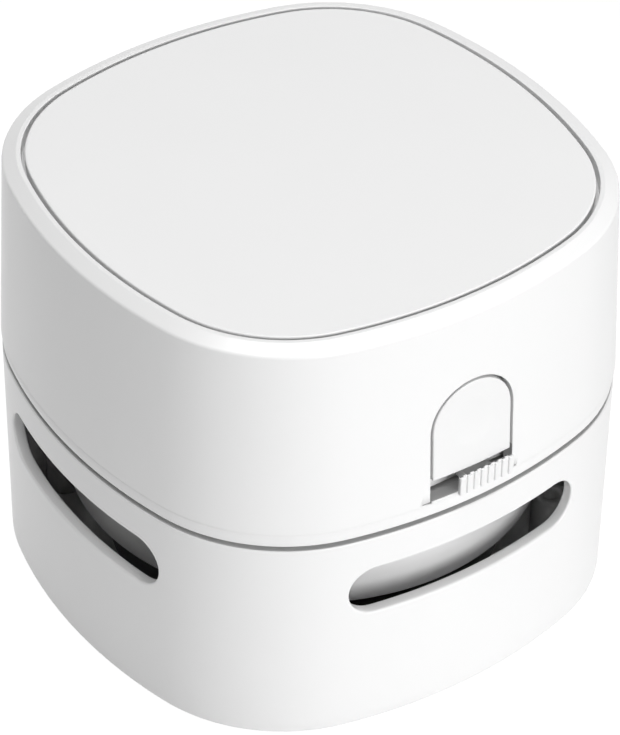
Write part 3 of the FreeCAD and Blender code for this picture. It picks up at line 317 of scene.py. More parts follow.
# ---- mesh helpers ----
class Plan:
    """The plan outline: four bowed sides joined by round corners, drawn in by an inset."""

    side_steps = 48
    corner_steps = 24

    def __init__(self, scene):
        sizes, upper = scene.cleaner_outline, scene.cleaner_upper
        self.side = sizes.side_radius
        self.corner = sizes.corner_radius
        self.patch = sizes.patch_half
        self.back = self.side - UPPER_HIGH.x
        # each corner's circle touches the circles of its two sides from inside, at this turn
        reach = self.side - self.corner
        self.centre = (math.sqrt(2 * reach**2 - self.back**2) - self.back) / 2
        self.turn = math.atan2(self.centre, self.centre + self.back)
        self.skirt = UPPER_LOW.z + upper.skirt_height
        self.slope = upper.wall_lean / (UPPER_HIGH.z - upper.shoulder_height - self.skirt)
        self.shoulder = upper.wall_lean + upper.shoulder_width
        self.recess = self.shoulder + upper.rim_land
        self.screw = self.centre + (self.corner - scene.cleaner_inner.corner_inset) * math.sqrt(0.5)

    def lean(self, z):
        """How far the upper wall has leant in at height z."""
        return max(z - self.skirt, 0) * self.slope

    def depth(self, along, inset):
        """Distance from the middle plane to the outline, at a place along a side."""
        along = abs(along)
        side, corner = self.side - inset, self.corner - inset
        if along <= side * math.sin(self.turn):
            return math.sqrt(side**2 - along**2) - self.back
        return self.centre + math.sqrt(corner**2 - (along - self.centre) ** 2)

    def ring(self, inset, z):
        """The whole outline at one height, with its columns in line for every inset."""
        points = []
        corner = self.corner - inset
        start = math.asin((self.patch - self.centre) / corner)
        for quarter in range(4):
            for i in range(self.side_steps):
                along = self.patch * (2 * i / self.side_steps - 1)
                points.append(placed(quarter, along, self.depth(along, inset), z))
            for i in range(self.corner_steps):
                a = start + (math.pi / 2 - 2 * start) * i / self.corner_steps
                points.append(placed(quarter, self.centre + corner * math.sin(a),
                                     self.centre + corner * math.cos(a), z))
        return points

    def columns(self, quarter, half):
        """Numbers of the columns of one side that lie within half of its middle."""
        first = quarter * (self.side_steps + self.corner_steps)
        step = 2 * self.patch / self.side_steps
        reach = round(half / step)
        middle = first + self.side_steps // 2
        return [(middle + i, i * step) for i in range(-reach, reach + 1)]


def placed(quarter, along, depth, z):
    """A point given along and out from one of the four sides; side 0 is the front."""
    x, y = along, -depth
    for _ in range(quarter):
        x, y = -y, x
    return Vector((x, y, z))


def circle(radius, z, columns, start=0.0):
    """Points of a circle round the Z axis."""
    angles = (start + FULL_TURN * i / columns for i in range(columns))
    return [Vector((radius * math.cos(a), radius * math.sin(a), z)) for a in angles]


class Skin:
    """Points and faces of one mesh, laid ring by ring."""

    def __init__(self):
        self.points = []
        self.faces = []

    def ring(self, points):
        first = len(self.points)
        self.points += points
        return list(range(first, first + len(points)))

    def bridge(self, low, high):
        for i in range(len(low)):
            j = (i + 1) % len(low)
            self.faces.append((low[i], low[j], high[j], high[i]))

    def rows(self, rings, closed=False):
        """Faces between each ring and the next one."""
        for low, high in zip(rings, rings[1:]):
            self.bridge(low, high)
        if closed:
            self.bridge(rings[-1], rings[0])

    def capped(self, rings):
        """Faces between the rings, and a flat face over each end."""
        self.rows(rings)
        self.faces.append(tuple(rings[0][::-1]))
        self.faces.append(tuple(rings[-1]))

    def block(self, low, high, turn=Matrix()):
        """A block with opposite corners at low and high."""
        rings = [self.ring([turn @ Vector((x, y, z)) for x, y in
                            ((low[0], low[1]), (high[0], low[1]), (high[0], high[1]), (low[0], high[1]))])
                 for z in (low[2], high[2])]
        self.capped(rings)

    def revolve(self, loop, columns, turn):
        """A ring-shaped solid turned from a closed profile of (radius, height)."""
        self.rows([self.ring([turn @ point for point in circle(radius, z, columns)])
                   for radius, z in loop], closed=True)

    def tube(self, bore, radius, low, high, turn):
        self.revolve([(bore, low), (radius, low), (radius, high), (bore, high)], 32, turn)

    def post(self, outline, low, high):
        """An upright solid on a flat outline."""
        self.capped([self.ring([Vector((x, y, z)) for x, y in outline]) for z in (low, high)])

    def object(self, name, finish, smooth=True):
        """An object of these faces, with a finish given by its name."""
        mesh = bpy.data.meshes.new(name)
        mesh.from_pydata(self.points, [], self.faces)
        with edited(mesh) as work:
            bmesh.ops.remove_doubles(work, verts=work.verts, dist=WELD)
            bmesh.ops.recalc_face_normals(work, faces=work.faces)
        mesh.polygons.foreach_set("use_smooth", [smooth] * len(mesh.polygons))
        mesh.materials.append(finish_of(finish))
        return linked(name, mesh)


@contextlib.contextmanager
def edited(mesh):
    """The mesh as a bmesh, which is written back and freed afterwards."""
    work = bmesh.new()
    work.from_mesh(mesh)
    yield work
    work.to_mesh(mesh)
    work.free()


def linked(name, mesh):
    piece = bpy.data.objects.new(name, mesh)
    bpy.context.scene.collection.objects.link(piece)
    return piece


def rounded(profile, radius):
    """A closed profile with rounded corners. A corner is (inset, height) or (inset, height, radius).

    A round takes no more than its share of the shorter side, and a close point holds it at each end."""
    steps, most, hold_near, hold_most = 4, 0.42, 0.6, 0.05
    result = []
    for i, corner in enumerate(profile):
        here, own = Vector(corner[:2]), (corner[2] if len(corner) > 2 else radius)
        before = Vector(profile[i - 1][:2]) - here
        after = Vector(profile[(i + 1) % len(profile)][:2]) - here
        room = min(before.length, after.length)
        reach = min(own / math.tan(before.angle(after) / 2), most * room) if own else 0.0
        if reach < WELD:
            result.append(tuple(corner[:2]))
            continue
        before.normalize()
        after.normalize()
        start, end = here + before * reach, here + after * reach
        hold = min(hold_near * reach, hold_most * room)
        result.append(tuple(start + before * hold))
        for t in between(0, 1, steps):
            result.append(tuple(start.lerp(here, t).lerp(here.lerp(end, t), t)))
        result.append(tuple(end + after * hold))
    return result


def settle(piece):
    """Turns a piece and its modifiers into a plain mesh."""
    rough, name = piece.data, piece.data.name
    bpy.context.view_layer.update()
    seen = piece.evaluated_get(bpy.context.evaluated_depsgraph_get())
    mesh = bpy.data.meshes.new_from_object(seen)
    piece.modifiers.clear()
    piece.data = mesh
    bpy.data.meshes.remove(rough)
    mesh.name = name


def carved(piece, cutter):
    """Takes the cutter away from a piece, and then removes the cutter."""
    modifier = piece.modifiers.new("carving", "BOOLEAN")
    modifier.solver = "EXACT"
    modifier.operation = "DIFFERENCE"
    modifier.object = cutter
    settle(piece)
    bpy.data.objects.remove(cutter)


def softened(piece, radius):
    """Rounds the sharp edges of a piece and keeps its flats flat."""
    modifier = piece.modifiers.new("edges", "BEVEL")
    modifier.width = radius
    modifier.segments = 2
    modifier.limit_method = "ANGLE"
    modifier.angle_limit = math.radians(40)
    settle(piece)


def copy_of(node, name, finish):
    """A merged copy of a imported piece, for one that bends."""
    mesh = NODES[node].data.copy()
    mesh.name = name
    with edited(mesh) as work:
        bmesh.ops.remove_doubles(work, verts=work.verts, dist=10 * WELD)
    dress(mesh, finish)
    return linked(name, mesh)


def dress(mesh, finish):
    mesh.materials.clear()
    mesh.materials.append(finish_of(finish))


def between(low, high, steps):
    """Evenly spaced values from low to high."""
    return [low + (high - low) * i / steps for i in range(steps + 1)]


def obround(half_length, half_width):
    """Outline of a slot with round ends along X."""
    steps, flat = 16, half_length - half_width
    points = []
    for side in (1, -1):
        for i in range(steps + 1):
            a = math.pi * (i / steps - 0.5)
            points.append((side * (flat + half_width * math.cos(a)), side * half_width * math.sin(a)))
    return points


def lip_steps(lip):
    """Loops of a rounded lip, from the flat to the opening: outwards from it, and below the flat."""
    return [(lip * (1 - math.sin(a)), lip * (1 - math.cos(a))) for a in between(0, math.pi / 2, 4)]


def thread_rings(radius, pitch, length, columns):
    """Rings of a threaded shank from z = 0 upwards, which narrows at its tip."""
    groove, rows_a_turn, tip = 0.22 * pitch, 8, 0.35
    rings = []
    for z in between(0.0, length, round(rows_a_turn * length / pitch)):
        narrow = min(1.0, (length - z) / (2 * radius) + tip)
        ring = []
        for i, point in enumerate(circle(1.0, z, columns)):
            share = (z / pitch - i / columns) % 1.0
            r = (radius - groove * (1 - abs(2 * share - 1))) * narrow
            ring.append(Vector((r * point.x, r * point.y, z)))
        rings.append(ring)
    return rings


def cross_points(arm, half, z):
    """Points of a cross: twelve corners and the middles between them."""
    corner = [(arm, -half), (arm, half), (half, half), (half, arm), (-half, arm), (-half, half),
              (-arm, half), (-arm, -half), (-half, -half), (-half, -arm), (half, -arm), (half, -half)]
    points = []
    for (x, y), (nx, ny) in zip(corner, corner[1:] + corner[:1]):
        points += [Vector((x, y, z)), Vector(((x + nx) / 2, (y + ny) / 2, z))]
    return points


def screw_skin(head_radius, head_height, radius, pitch, shank):
    """A pan-head screw with a cross recess. It bears on z = 0, and its head is below."""
    columns, start = 24, math.atan2(-1, 4)
    arm, half, deep, narrow = 0.56 * head_radius, 0.15 * head_radius, 0.62 * head_height, 0.6
    head = [(0.66, 1.0), (0.8, 0.96), (0.9, 0.86), (0.96, 0.68), (1.0, 0.4), (1.0, 0.06), (0.97, 0.0)]
    rings = [cross_points(narrow * arm, narrow * half, deep - head_height),
             cross_points(arm, half, -head_height)]
    rings += [circle(wide * head_radius, -down * head_height, columns, start) for wide, down in head]
    rings += thread_rings(radius, pitch, shank, columns)
    skin = Skin()
    skin.capped([skin.ring(points) for points in rings])
    return skin


def turned(name, finish, profile, radius, columns, turn=Matrix()):
    """An object turned from a closed profile of (radius, height) corners, rounded by radius."""
    skin = Skin()
    skin.revolve(rounded(profile, radius), columns, turn)
    return skin.object(name, finish)


class Wall:
    """A wall swept round the plan, whose outer and inner face have rings at the same heights."""

    def __init__(self, skin, plan, profile, heights, outer, inner):
        self.skin, self.plan, self.heights = skin, plan, heights
        rings = [skin.ring(plan.ring(inset, z)) for inset, z in profile]
        skin.rows(rings, closed=True)
        self.faces = [([rings[profile.index((inset(z), z))] for z in heights], inset, side)
                      for inset, side in ((outer, 1), (inner, -1))]


class Opening:
    """A straight opening through the outer and the inner face of a wall, within half of its middle."""

    spread = (0.3, 0.55, 0.75, 0.9)  # rings on the way from the border to the lip
    clear = 2.0  # where that way ends, in radii of the lip

    def __init__(self, wall, quarter, half, hole, lip):
        self.wall, self.quarter, self.lip = wall, quarter, lip
        columns = wall.plan.columns(quarter, half)
        right, top = len(columns) - 1, len(wall.heights) - 1
        self.border = ([(i, 0) for i in range(right)] + [(right, j) for j in range(top)]
                       + [(i, top) for i in range(right, 0, -1)] + [(0, j) for j in range(top, 0, -1)])
        self.edge = [(columns[i][1], wall.heights[j]) for i, j in self.border]
        self.hole = [hole(x, z) for x, z in self.edge]
        self.ids = [number for number, _ in columns]
        for rows, _, _ in wall.faces:
            self.open_wall(rows)
        outside, inside = [self.patch(*face) for face in wall.faces]
        wall.skin.rows(outside + inside[::-1])

    def open_wall(self, rows):
        """Takes out the faces of the patch."""
        gone = {frozenset((low[i], low[i + 1], high[i + 1], high[i]))
                for low, high in zip(rows, rows[1:]) for i in self.ids[:-1]}
        self.wall.skin.faces = [f for f in self.wall.skin.faces if frozenset(f) not in gone]

    def ring(self, places, inset, sink=0.0):
        """Points at (along, height) places of a face, or sunk below it."""
        depth = self.wall.plan.depth
        return self.wall.skin.ring([placed(self.quarter, x, depth(x, inset(z)) - sink, z)
                                    for x, z in places])

    def grown(self, by):
        """The outline of the opening, grown outwards."""
        return [(x + nx * by, z + nz * by) for (x, z), (nx, nz) in self.hole]

    def patch(self, rows, inset, side):
        """Rings from the border to the lip, and the lip itself; side is 1 outside, -1 inside."""
        rings = [[rows[j][self.ids[i]] for i, j in self.border]]
        clear = self.grown(self.clear * self.lip)
        for share in self.spread:
            rings.append(self.ring([(x + (cx - x) * share, z + (cz - z) * share)
                                    for (x, z), (cx, cz) in zip(self.edge, clear)], inset))
        rings.append(self.ring(self.grown(HOLD * self.lip), inset))
        rings += [self.ring(self.grown(out), inset, side * down) for out, down in lip_steps(self.lip)]
        rings.append(self.ring(self.grown(0), inset, side * HOLD * self.lip))
        return rings


def obround_hole(half_length, half_height, middle, patch_half, heights):
    """Maps the border of a patch to a slot with round ends: place and outward direction."""
    flat = half_length - half_height
    low, high = heights[0], heights[-1]
    rise = (high - low) / 2

    def hole(x, z):
        up = z - (low + high) / 2
        if abs(x) <= flat + TINY:
            way = 1 if up > 0 else -1
            return (x, middle + way * half_height), (0, way)
        over = abs(x) - flat
        end = patch_half - flat
        if over < end - TINY:
            share = over / (end + rise)
        else:
            share = (end + rise - abs(up)) / (end + rise)
        a = share * math.pi / 2
        nx = math.copysign(math.sin(a), x)
        nz = math.copysign(math.cos(a), up) if abs(up) > TINY else 0.0
        return ((math.copysign(flat, x) + nx * half_height, middle + nz * half_height), (nx, nz))

    return hole


def arch_hole(middle, half, foot, centre, patch_half, heights):
    """Maps the border of a patch to an arch with a square foot: place and outward direction."""
    patch_low, patch_high = heights[0], heights[-1]

    def hole(x, z):
        side = math.copysign(1, x)
        if z <= patch_low + TINY:
            corner = abs(x) > patch_half - TINY
            return (middle + x * half / patch_half, foot), (side if corner else 0, -1)
        if z <= centre + TINY and abs(x) > patch_half - TINY:
            share = (z - patch_low) / (centre - patch_low)
            return (middle + side * half, foot + (centre - foot) * share), (side, 0)
        rise = patch_high - centre
        if abs(x) > patch_half - TINY:
            share = (z - centre) / (rise + patch_half)
        else:
            share = (rise + patch_half - abs(x)) / (rise + patch_half)
        a = share * math.pi / 2
        nx, nz = side * math.cos(a), math.sin(a)
        if abs(x) < TINY:
            nx = 0.0
        return (middle + nx * half, centre + nz * half), (nx, nz)

    return hole


# ---- node helpers ----
class Value:
    """An output of a node that takes part in Python arithmetic."""

    def __init__(self, sheet, socket):
        self.sheet = sheet
        self.socket = socket

    def math(self, operation, *values):
        return self.sheet.node("ShaderNodeMath", {"operation": operation}, dict(enumerate(values)))

    def __add__(self, other):
        return self.math("ADD", self, other)

    def __sub__(self, other):
        return self.math("SUBTRACT", self, other)

    def __rsub__(self, other):
        return self.math("SUBTRACT", other, self)

    def __mul__(self, other):
        return self.math("MULTIPLY", self, other)

    def __truediv__(self, other):
        return self.math("DIVIDE", self, other)

    __radd__ = __add__
    __rmul__ = __mul__

    def clamped(self):
        return self.math("MINIMUM", self.math("MAXIMUM", self, 0.0), 1.0)

    def over(self, level):
        """1 where the value is above level."""
        return self.math("GREATER_THAN", self, level)


class Sheet:
    """A node tree, of a material or of geometry, that is filled by one method."""

    def __init__(self, tree):
        self.tree = tree

    def node(self, kind, settings=None, inputs=None, output=0):
        """Makes a node with its settings and inputs, and gives one of its outputs."""
        made = self.tree.nodes.new(kind)
        for name, value in (settings or {}).items():
            setattr(made, name, value)
        for name, value in (inputs or {}).items():
            self.feed(made.inputs[name], value)
        return Value(self, made.outputs[output])

    def feed(self, socket, value):
        if isinstance(value, list):
            for one in value:
                self.feed(socket, one)
        elif isinstance(value, Value):
            self.tree.links.new(value.socket, socket)
        else:
            socket.default_value = value

    def axes(self, vector):
        return [self.node("ShaderNodeSeparateXYZ", None, {"Vector": vector}, output=axis)
                for axis in "XYZ"]

    def vector(self, x=0.0, y=0.0, z=0.0):
        return self.node("ShaderNodeCombineXYZ", None, {"X": x, "Y": y, "Z": z})

    def polar(self, turn, radius, z=0.0):
        return self.vector(radius * turn.math("COSINE", turn), radius * turn.math("SINE", turn), z)

    def sum(self, first, second):
        return self.node("ShaderNodeVectorMath", {"operation": "ADD"}, {0: first, 1: second})


class Finish(Sheet):
    """A material with one Principled shader."""

    def __init__(self, name, **values):
        self.material = bpy.data.materials.new(name)
        self.material.use_nodes = True
        super().__init__(self.material.node_tree)
        self.shader = self.tree.nodes["Principled BSDF"]
        for socket, value in values.items():
            self.set(socket, value)
        self.place = self.node("ShaderNodeTexCoord", output="Object")

    def set(self, socket, value):
        """Feeds an input of the shader; a colour gets its fourth level here."""
        if isinstance(value, (tuple, list)) or hasattr(value, "r"):
            value = (*value[:3], 1)
        self.feed(self.shader.inputs[socket.replace("_", " ")], value)

    def noise(self, scale, detail=2.0, stretch=(1, 1, 1)):
        place = self.node("ShaderNodeMapping", None, {"Vector": self.place, "Scale": stretch})
        return self.node("ShaderNodeTexNoise", None, {"Vector": place, "Scale": scale, "Detail": detail})

    def blend(self, factor, first, second):
        """Base colour: first where factor is 0, second where it is 1."""
        self.set("Base_Color", self.node("ShaderNodeMix", {"data_type": "RGBA"},
                                         {0: factor, 6: (*first[:3], 1), 7: (*second[:3], 1)}, output=2))

    def shade(self, shade_of, factor, depth):
        """The colour, darkened by depth where factor is 1."""
        self.blend(factor, shade_of, [c * (1 - depth) for c in shade_of[:3]])

    def bump(self, height, distance, strength=1.0):
        self.set("Normal", self.node("ShaderNodeBump", None,
                                     {"Height": height, "Distance": distance, "Strength": strength}))


def moulded(name, base, roughness, grain, coat=0.0, painted_shade=None):
    """Moulded plastic: a fine spark-eroded grain, faint unevenness, and painted shade in gaps and recesses
    where a shade mask is given.
    """
    cloud_scale, grain_scale, darker, rougher = 60, 9000, 0.02, 0.08
    finish = Finish(name, IOR=1.48, Coat_Weight=coat, Coat_Roughness=0.12)
    cloud = finish.noise(cloud_scale, 3)
    dark = cloud * darker
    # the mask paints shade into the base colour where gaps and recesses lie in shade
    if painted_shade:
        dark = dark + painted_shade(*finish.axes(finish.place))
    finish.shade(base, dark, 1.0)
    finish.set("Roughness", roughness + (cloud - 0.5) * rougher)
    finish.bump(finish.noise(grain_scale, 1), grain * MM)
    return finish.material


def rubbery(name, base, pore_scale):
    """Soft matt rubber or foam with an open, uneven skin."""
    dust_scale, sheen_scale, darker, rougher = 200, 400, 0.3, 0.12
    finish = Finish(name, IOR=1.45)
    pores = finish.node("ShaderNodeTexVoronoi", None, {"Vector": finish.place, "Scale": pore_scale})
    finish.shade(base, finish.noise(dust_scale, 3), darker)
    finish.set("Roughness", 0.78 + finish.noise(sheen_scale) * rougher)
    finish.bump(pores, 0.03 * MM, 0.6)
    return finish.material


def patterned(name, base, noise, darker, roughness, rougher, height, **shader):
    """A surface with the same noise in its colour, its roughness and, where it has height, its bump."""
    finish = Finish(name, **shader)
    marks = finish.noise(*noise)
    finish.shade(base, marks, darker)
    finish.set("Roughness", roughness + marks * rougher)
    if height:
        finish.bump(marks, height * MM)
    return finish.material


def drawn(name, metal, roughness, stretch):
    """Bright metal with fine drawing marks along one axis."""
    return patterned(name, metal, (900, 2, stretch), darker=0.18, roughness=roughness, rougher=0.15,
                     height=0.002, Metallic=1.0)


def sleeved(name, sleeve, metal, way, start, end):
    """A cell: its sleeve between two places along X, and bare steel past them."""
    finish = Finish(name, IOR=1.5, Coat_Weight=0.3, Coat_Roughness=0.2)
    along = finish.axes(finish.place)[0] * way
    bare = (along.over(end) + (0.0 - along).over(-start)).clamped()
    finish.blend(bare, sleeve, metal)
    finish.set("Metallic", bare)
    finish.set("Roughness", 0.32 + finish.noise(300) * 0.1)
    return finish.material


def make_finishes(scene):
    """All the materials, by name."""
    colours, control, inner = scene.cleaner_colours, scene.cleaner_control, scene.cleaner_inner
    plan = Plan(scene)
    low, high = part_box("cell_front")
    crimp = 0.5 * MM
    sleeve = (low.x + crimp, high.x - inner.nub_height - crimp)
    slot = UPPER_LOW.z + control.window_foot
    # how much of the white each painted shade takes away: in the slot, in the seam and in the cover's gap
    slot_painted_shade, seam_painted_shade, gap_painted_shade = 0.5, 0.35, 0.15

    def slot_shade(x, y, z):
        """Painted shade behind the front of the wall, round the slot of the slider, where the slot's white
        walls lie in shade.
        """
        skin, beside, below, above = 0.15 * MM, 1.4 * MM, 0.45 * MM, 0.3 * MM
        back = y - plan.back
        out = x.math("SQRT", x * x + back * back)
        behind = (plan.side - skin - (z - plan.skirt) * plan.slope - out).over(0.0)
        across = x.math("ABSOLUTE", x - control.middle)
        near = (control.window_half + beside - across).over(0.0)
        level = z.over(slot - below) * (slot + control.button_foot + above - z).over(0.0)
        return behind * near * level * (0.0 - y).over(0.0) * slot_painted_shade

    def seam_shade(_x, _y, z):
        """Painted shade on the ledge and the spigot, inside the seam between the shells, where the white
        plastic lies in shade.
        """
        return z.over(LOWER_HIGH.z - scene.cleaner_lower.spigot_height - FINE / 5) * seam_painted_shade

    def gap_shade(_x, _y, z):
        """Painted shade down the side of the battery cover, in its gap, but not on its rounded edges."""
        under = COVER_HIGH.z - scene.cleaner_upper.cover_thickness + FINE / 2
        return (COVER_HIGH.z - 3 * FINE - z).over(0.0) * z.over(under) * gap_painted_shade

    white = colours.housing
    plastics = (
        # name, colour, roughness, height of the grain in millimetres
        ("control_white", colours.control, 0.34, 0.002),
        # the carrier's grey is painted shade in the slot behind the cap
        ("carrier_grey", colours.carrier, 0.5, 0.004),
        ("cup_dark", colours.cup, 0.22, 0.001),
        ("inner_plastic", colours.inner, 0.5, 0.006),
        ("cap_plastic", colours.rubber, 0.4, 0.004),
        ("bristle_nylon", colours.nylon, 0.45, 0.001),
    )
    made = [moulded(*plastic) for plastic in plastics] + [
        # the next three whites carry painted shade: in the slider's slot, in the seam, and in the cover's
        # gap
        moulded("housing_white", white, roughness=0.32, grain=0.002, coat=0.15, painted_shade=slot_shade),
        moulded("base_white", white, roughness=0.32, grain=0.002, coat=0.15, painted_shade=seam_shade),
        moulded("cover_white", colours.cover, roughness=0.55, grain=0.006, painted_shade=gap_shade),
        rubbery("glide_pad", colours.rubber, 3000),
        rubbery("seal_rubber", colours.rubber, 4000),
        rubbery("pad_foam", colours.rubber, 1200),
        drawn("screw_steel", colours.steel, 0.28, (1, 1, 1)),
        drawn("motor_steel", colours.steel, 0.3, (1, 1, 12)),
        drawn("contact_plate", colours.steel, 0.2, (8, 1, 1)),
        drawn("bronze", colours.bronze, 0.4, (1, 1, 1)),
        patterned("filter_paper", colours.paper, (2500, 4, (1, 6, 1)), darker=0.12, roughness=0.85,
                  rougher=0.1, height=0.03, IOR=1.4),
        patterned("collar_gloss", colours.collar, (150, 3), darker=0.06, roughness=0.3, rougher=0.06,
                  height=0, Metallic=0.15, Coat_Weight=0.6, Coat_Roughness=0.08),
        sleeved("cell_front_jacket", colours.sleeve, colours.steel, 1, *sleeve),
        sleeved("cell_rear_jacket", colours.sleeve, colours.steel, -1, *sleeve),
    ]
    return {material.name.partition(".")[0]: material for material in made}


FINISHES = {}


def finish_of(name):
    """The material of this name; all are made when the first is asked for."""
    if not FINISHES:
        FINISHES.update(make_finishes(bpy.context.scene))
    return FINISHES[name]


# ---- geometry node trees ----
class Grower(Sheet):
    """A Geometry Nodes tree with named inputs, ending in Realize Instances and Set Material."""

    def __init__(self, name, inputs):
        super().__init__(bpy.data.node_groups.new(name, "GeometryNodeTree"))
        interface = self.tree.interface
        interface.new_socket("Geometry", in_out="OUTPUT", socket_type="NodeSocketGeometry")
        self.names = {}
        for label, kind in {"Geometry": "Geometry", **inputs, "Material": "Material"}.items():
            socket = interface.new_socket(label, in_out="INPUT", socket_type="NodeSocket" + kind)
            self.names[label] = socket.identifier
        self.start = self.tree.nodes.new("NodeGroupInput")

    def __getitem__(self, label):
        """The input of the tree that bears this label."""
        return Value(self, self.start.outputs[label])

    def index(self):
        return self.node("GeometryNodeInputIndex")

    def random(self, low, high, salt):
        """A number for each point, the same at every run."""
        return self.node("FunctionNodeRandomValue", {"data_type": "FLOAT"},
                         {2: low, 3: high, "Seed": self["Seed"] + salt}, output=1)

    def joined(self, *parts):
        return self.node("GeometryNodeJoinGeometry", None, {"Geometry": list(parts)})

    def thickened(self, faces, depth):
        """A closed slab on a sheet of faces, along their normals."""
        moved = self.node("GeometryNodeExtrudeMesh", None,
                          {"Mesh": faces, "Offset Scale": depth, "Individual": False})
        back = self.node("GeometryNodeFlipFaces", None, {"Mesh": faces})
        return self.node("GeometryNodeMergeByDistance", None,
                         {"Geometry": self.joined(moved, back), "Distance": WELD})

    def instances(self, points, shape, rotation):
        return self.node("GeometryNodeInstanceOnPoints", None,
                         {"Points": points, "Instance": shape, "Rotation": rotation})

    def end(self, geometry):
        plain = self.node("GeometryNodeRealizeInstances", None, {"Geometry": geometry})
        done = self.node("GeometryNodeSetMaterial", None,
                         {"Geometry": plain, "Material": self["Material"]})
        self.feed(self.tree.nodes.new("NodeGroupOutput").inputs[0], done)

    def grow(self, piece, finish, values):
        """Runs the tree on a piece and leaves a plain mesh with the named finish."""
        modifier = piece.modifiers.new(self.tree.name, "NODES")
        modifier.node_group = self.tree
        for label, value in {**values, "Material": finish_of(finish)}.items():
            modifier[self.names[label]] = value
        settle(piece)


def rib_tree():
    """Upright ribs side by side, joined to the mesh that carries them."""
    tree = Grower("knob_ribs", {"Ribs": "Int", "Pitch": "Float", "Width": "Float", "Depth": "Float",
                                "Height": "Float", "Round": "Float", "First": "Vector"})
    section = tree.node("GeometryNodeCurvePrimitiveQuadrilateral", {"mode": "RECTANGLE"},
                        {"Width": tree["Width"], "Height": tree["Depth"]})
    section = tree.node("GeometryNodeFilletCurve", {"mode": "POLY"},
                        {"Curve": section, "Radius": tree["Round"], "Count": 4})
    sheet = tree.node("GeometryNodeFillCurve", {"mode": "NGONS"}, {"Curve": section})
    rib = tree.thickened(sheet, tree["Height"])
    line = tree.node("GeometryNodeMeshLine", {"mode": "OFFSET"},
                     {"Count": tree["Ribs"], "Start Location": tree["First"],
                      "Offset": tree.vector(tree["Pitch"])})
    ribs = tree.instances(line, rib, tree.vector())
    tree.end(tree.joined(tree["Geometry"], ribs))
    return tree


def ring_tree():
    """Copies of a screw in a ring, each clocked at random about its own axis."""
    tree = Grower("screw_ring", {"Screws": "Int", "Radius": "Float", "Turn": "Float", "Centre": "Vector",
                                 "Tilt": "Vector", "Spin": "Vector", "Seed": "Int"})
    at = tree.index() * FULL_TURN / tree["Screws"] + tree["Turn"]
    place = tree.sum(tree.polar(at, tree["Radius"]), tree["Centre"])
    points = tree.node("GeometryNodePoints", None, {"Count": tree["Screws"], "Position": place})
    spin = tree.node("ShaderNodeVectorMath", {"operation": "SCALE"},
                     {"Vector": tree["Spin"], "Scale": tree.random(0.0, FULL_TURN, 1)})
    tree.end(tree.instances(points, tree["Geometry"], tree.sum(spin, tree["Tilt"])))
    return tree


def blade_tree():
    """Backward-curved blades round an axis, joined to the hub and plate that carry them."""
    tree = Grower("fan_blades", {"Blades": "Int", "Start": "Float", "Rim": "Float", "Bow": "Float",
                                 "Thickness": "Float", "Eye": "Float", "Taper": "Float",
                                 "Foot": "Float", "Top": "Float"})
    start, rim, bow = tree["Start"], tree["Rim"], tree["Bow"]
    grid = tree.node("GeometryNodeMeshGrid", None, {"Size X": 1.0, "Size Y": 1.0,
                                                    "Vertices X": 28, "Vertices Y": 6})
    across, up, _ = tree.axes(tree.node("GeometryNodeInputPosition"))
    radius = start + (across + 0.5) * (rim - start)
    # a blade is an arc of radius Bow; the cosine rule gives its swing at each radius
    square = start * rim
    far = square.math("SQRT", square + bow * bow)
    swing = radius.math("ARCCOSINE", (radius * radius + square) / (2 * radius * far))
    swing = swing - bow.math("ARCTAN2", bow, square.math("SQRT", square))
    eye = tree["Eye"]
    rise = radius.math("MAXIMUM", radius - eye, 0.0) * tree["Taper"] / (rim - eye)
    low = tree["Foot"] + rise
    place = tree.polar(swing, radius, low + (up + 0.5) * (tree["Top"] - low))
    sheet = tree.node("GeometryNodeSetPosition", None, {"Geometry": grid, "Position": place})
    blade = tree.thickened(sheet, tree["Thickness"])
    points = tree.node("GeometryNodePoints", None, {"Count": tree["Blades"]})
    turn = tree.vector(z=tree.index() * FULL_TURN / tree["Blades"])
    tree.end(tree.joined(tree["Geometry"], tree.instances(points, blade, turn)))
    return tree


def bristle_tree():
    """Tufts of thin strands in a row, hanging from z at the row's root."""
    tree = Grower("bristle_row", {"Tufts": "Int", "Strands": "Int", "Pitch": "Float", "Tuft Radius": "Float",
                                  "Strand Radius": "Float", "Length": "Float", "Splay": "Float",
                                  "Root": "Vector", "Seed": "Int"})
    facets, tip = 6, 0.6
    index, strands = tree.index(), tree["Strands"]
    tuft = index.math("FLOOR", (index + 0.5) / strands)
    middle = (tree["Tufts"] - 1) * 0.5
    way = tree.random(0.0, FULL_TURN, 1)
    out = tree["Tuft Radius"] * way.math("SQRT", tree.random(0.0, 1.0, 2))
    place = tree.sum(tree.polar(way, out), tree.vector((tuft - middle) * tree["Pitch"]))
    place = tree.sum(place, tree["Root"])
    points = tree.node("GeometryNodePoints", None,
                       {"Count": tree["Tufts"] * strands, "Position": place})
    strand = tree.node("GeometryNodeMeshCone", {"fill_type": "NGON"},
                       {"Vertices": facets, "Radius Bottom": tree["Strand Radius"],
                        "Radius Top": tree["Strand Radius"] * tip, "Depth": tree["Length"]})
    splay = tree["Splay"]
    turn = tree.vector(math.pi + tree.random(-1.0, 1.0, 3) * splay, tree.random(-1.0, 1.0, 4) * splay,
                       tree.random(0.0, FULL_TURN, 5))
    tree.end(tree.instances(points, strand, turn))
    return tree


# ---- the pieces ----
class Builder:
    """What every operator of this add-on shares."""

    bl_options = {"REGISTER", "UNDO"}

    def place(self, piece, body, slot, *nodes):
        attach(piece, body)
        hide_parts(*nodes)

    def corner_bosses(self, skin, plan, inner, low, high):
        """Four bored bosses, each with a web that runs into the corner of the wall."""
        radius, half = inner.boss_radius, inner.web / 2
        root = 0.9 * radius
        for quarter in range(4):
            turn = (Matrix.Rotation(quarter * math.pi / 2, 4, "Z")
                    @ Matrix.Translation((plan.screw, plan.screw, 0)) @ Matrix.Rotation(math.pi / 4, 4, "Z"))
            skin.tube(inner.bore_radius, radius, low, high, turn)
            skin.block((root, -half, low), (inner.web_reach, half, high), turn)


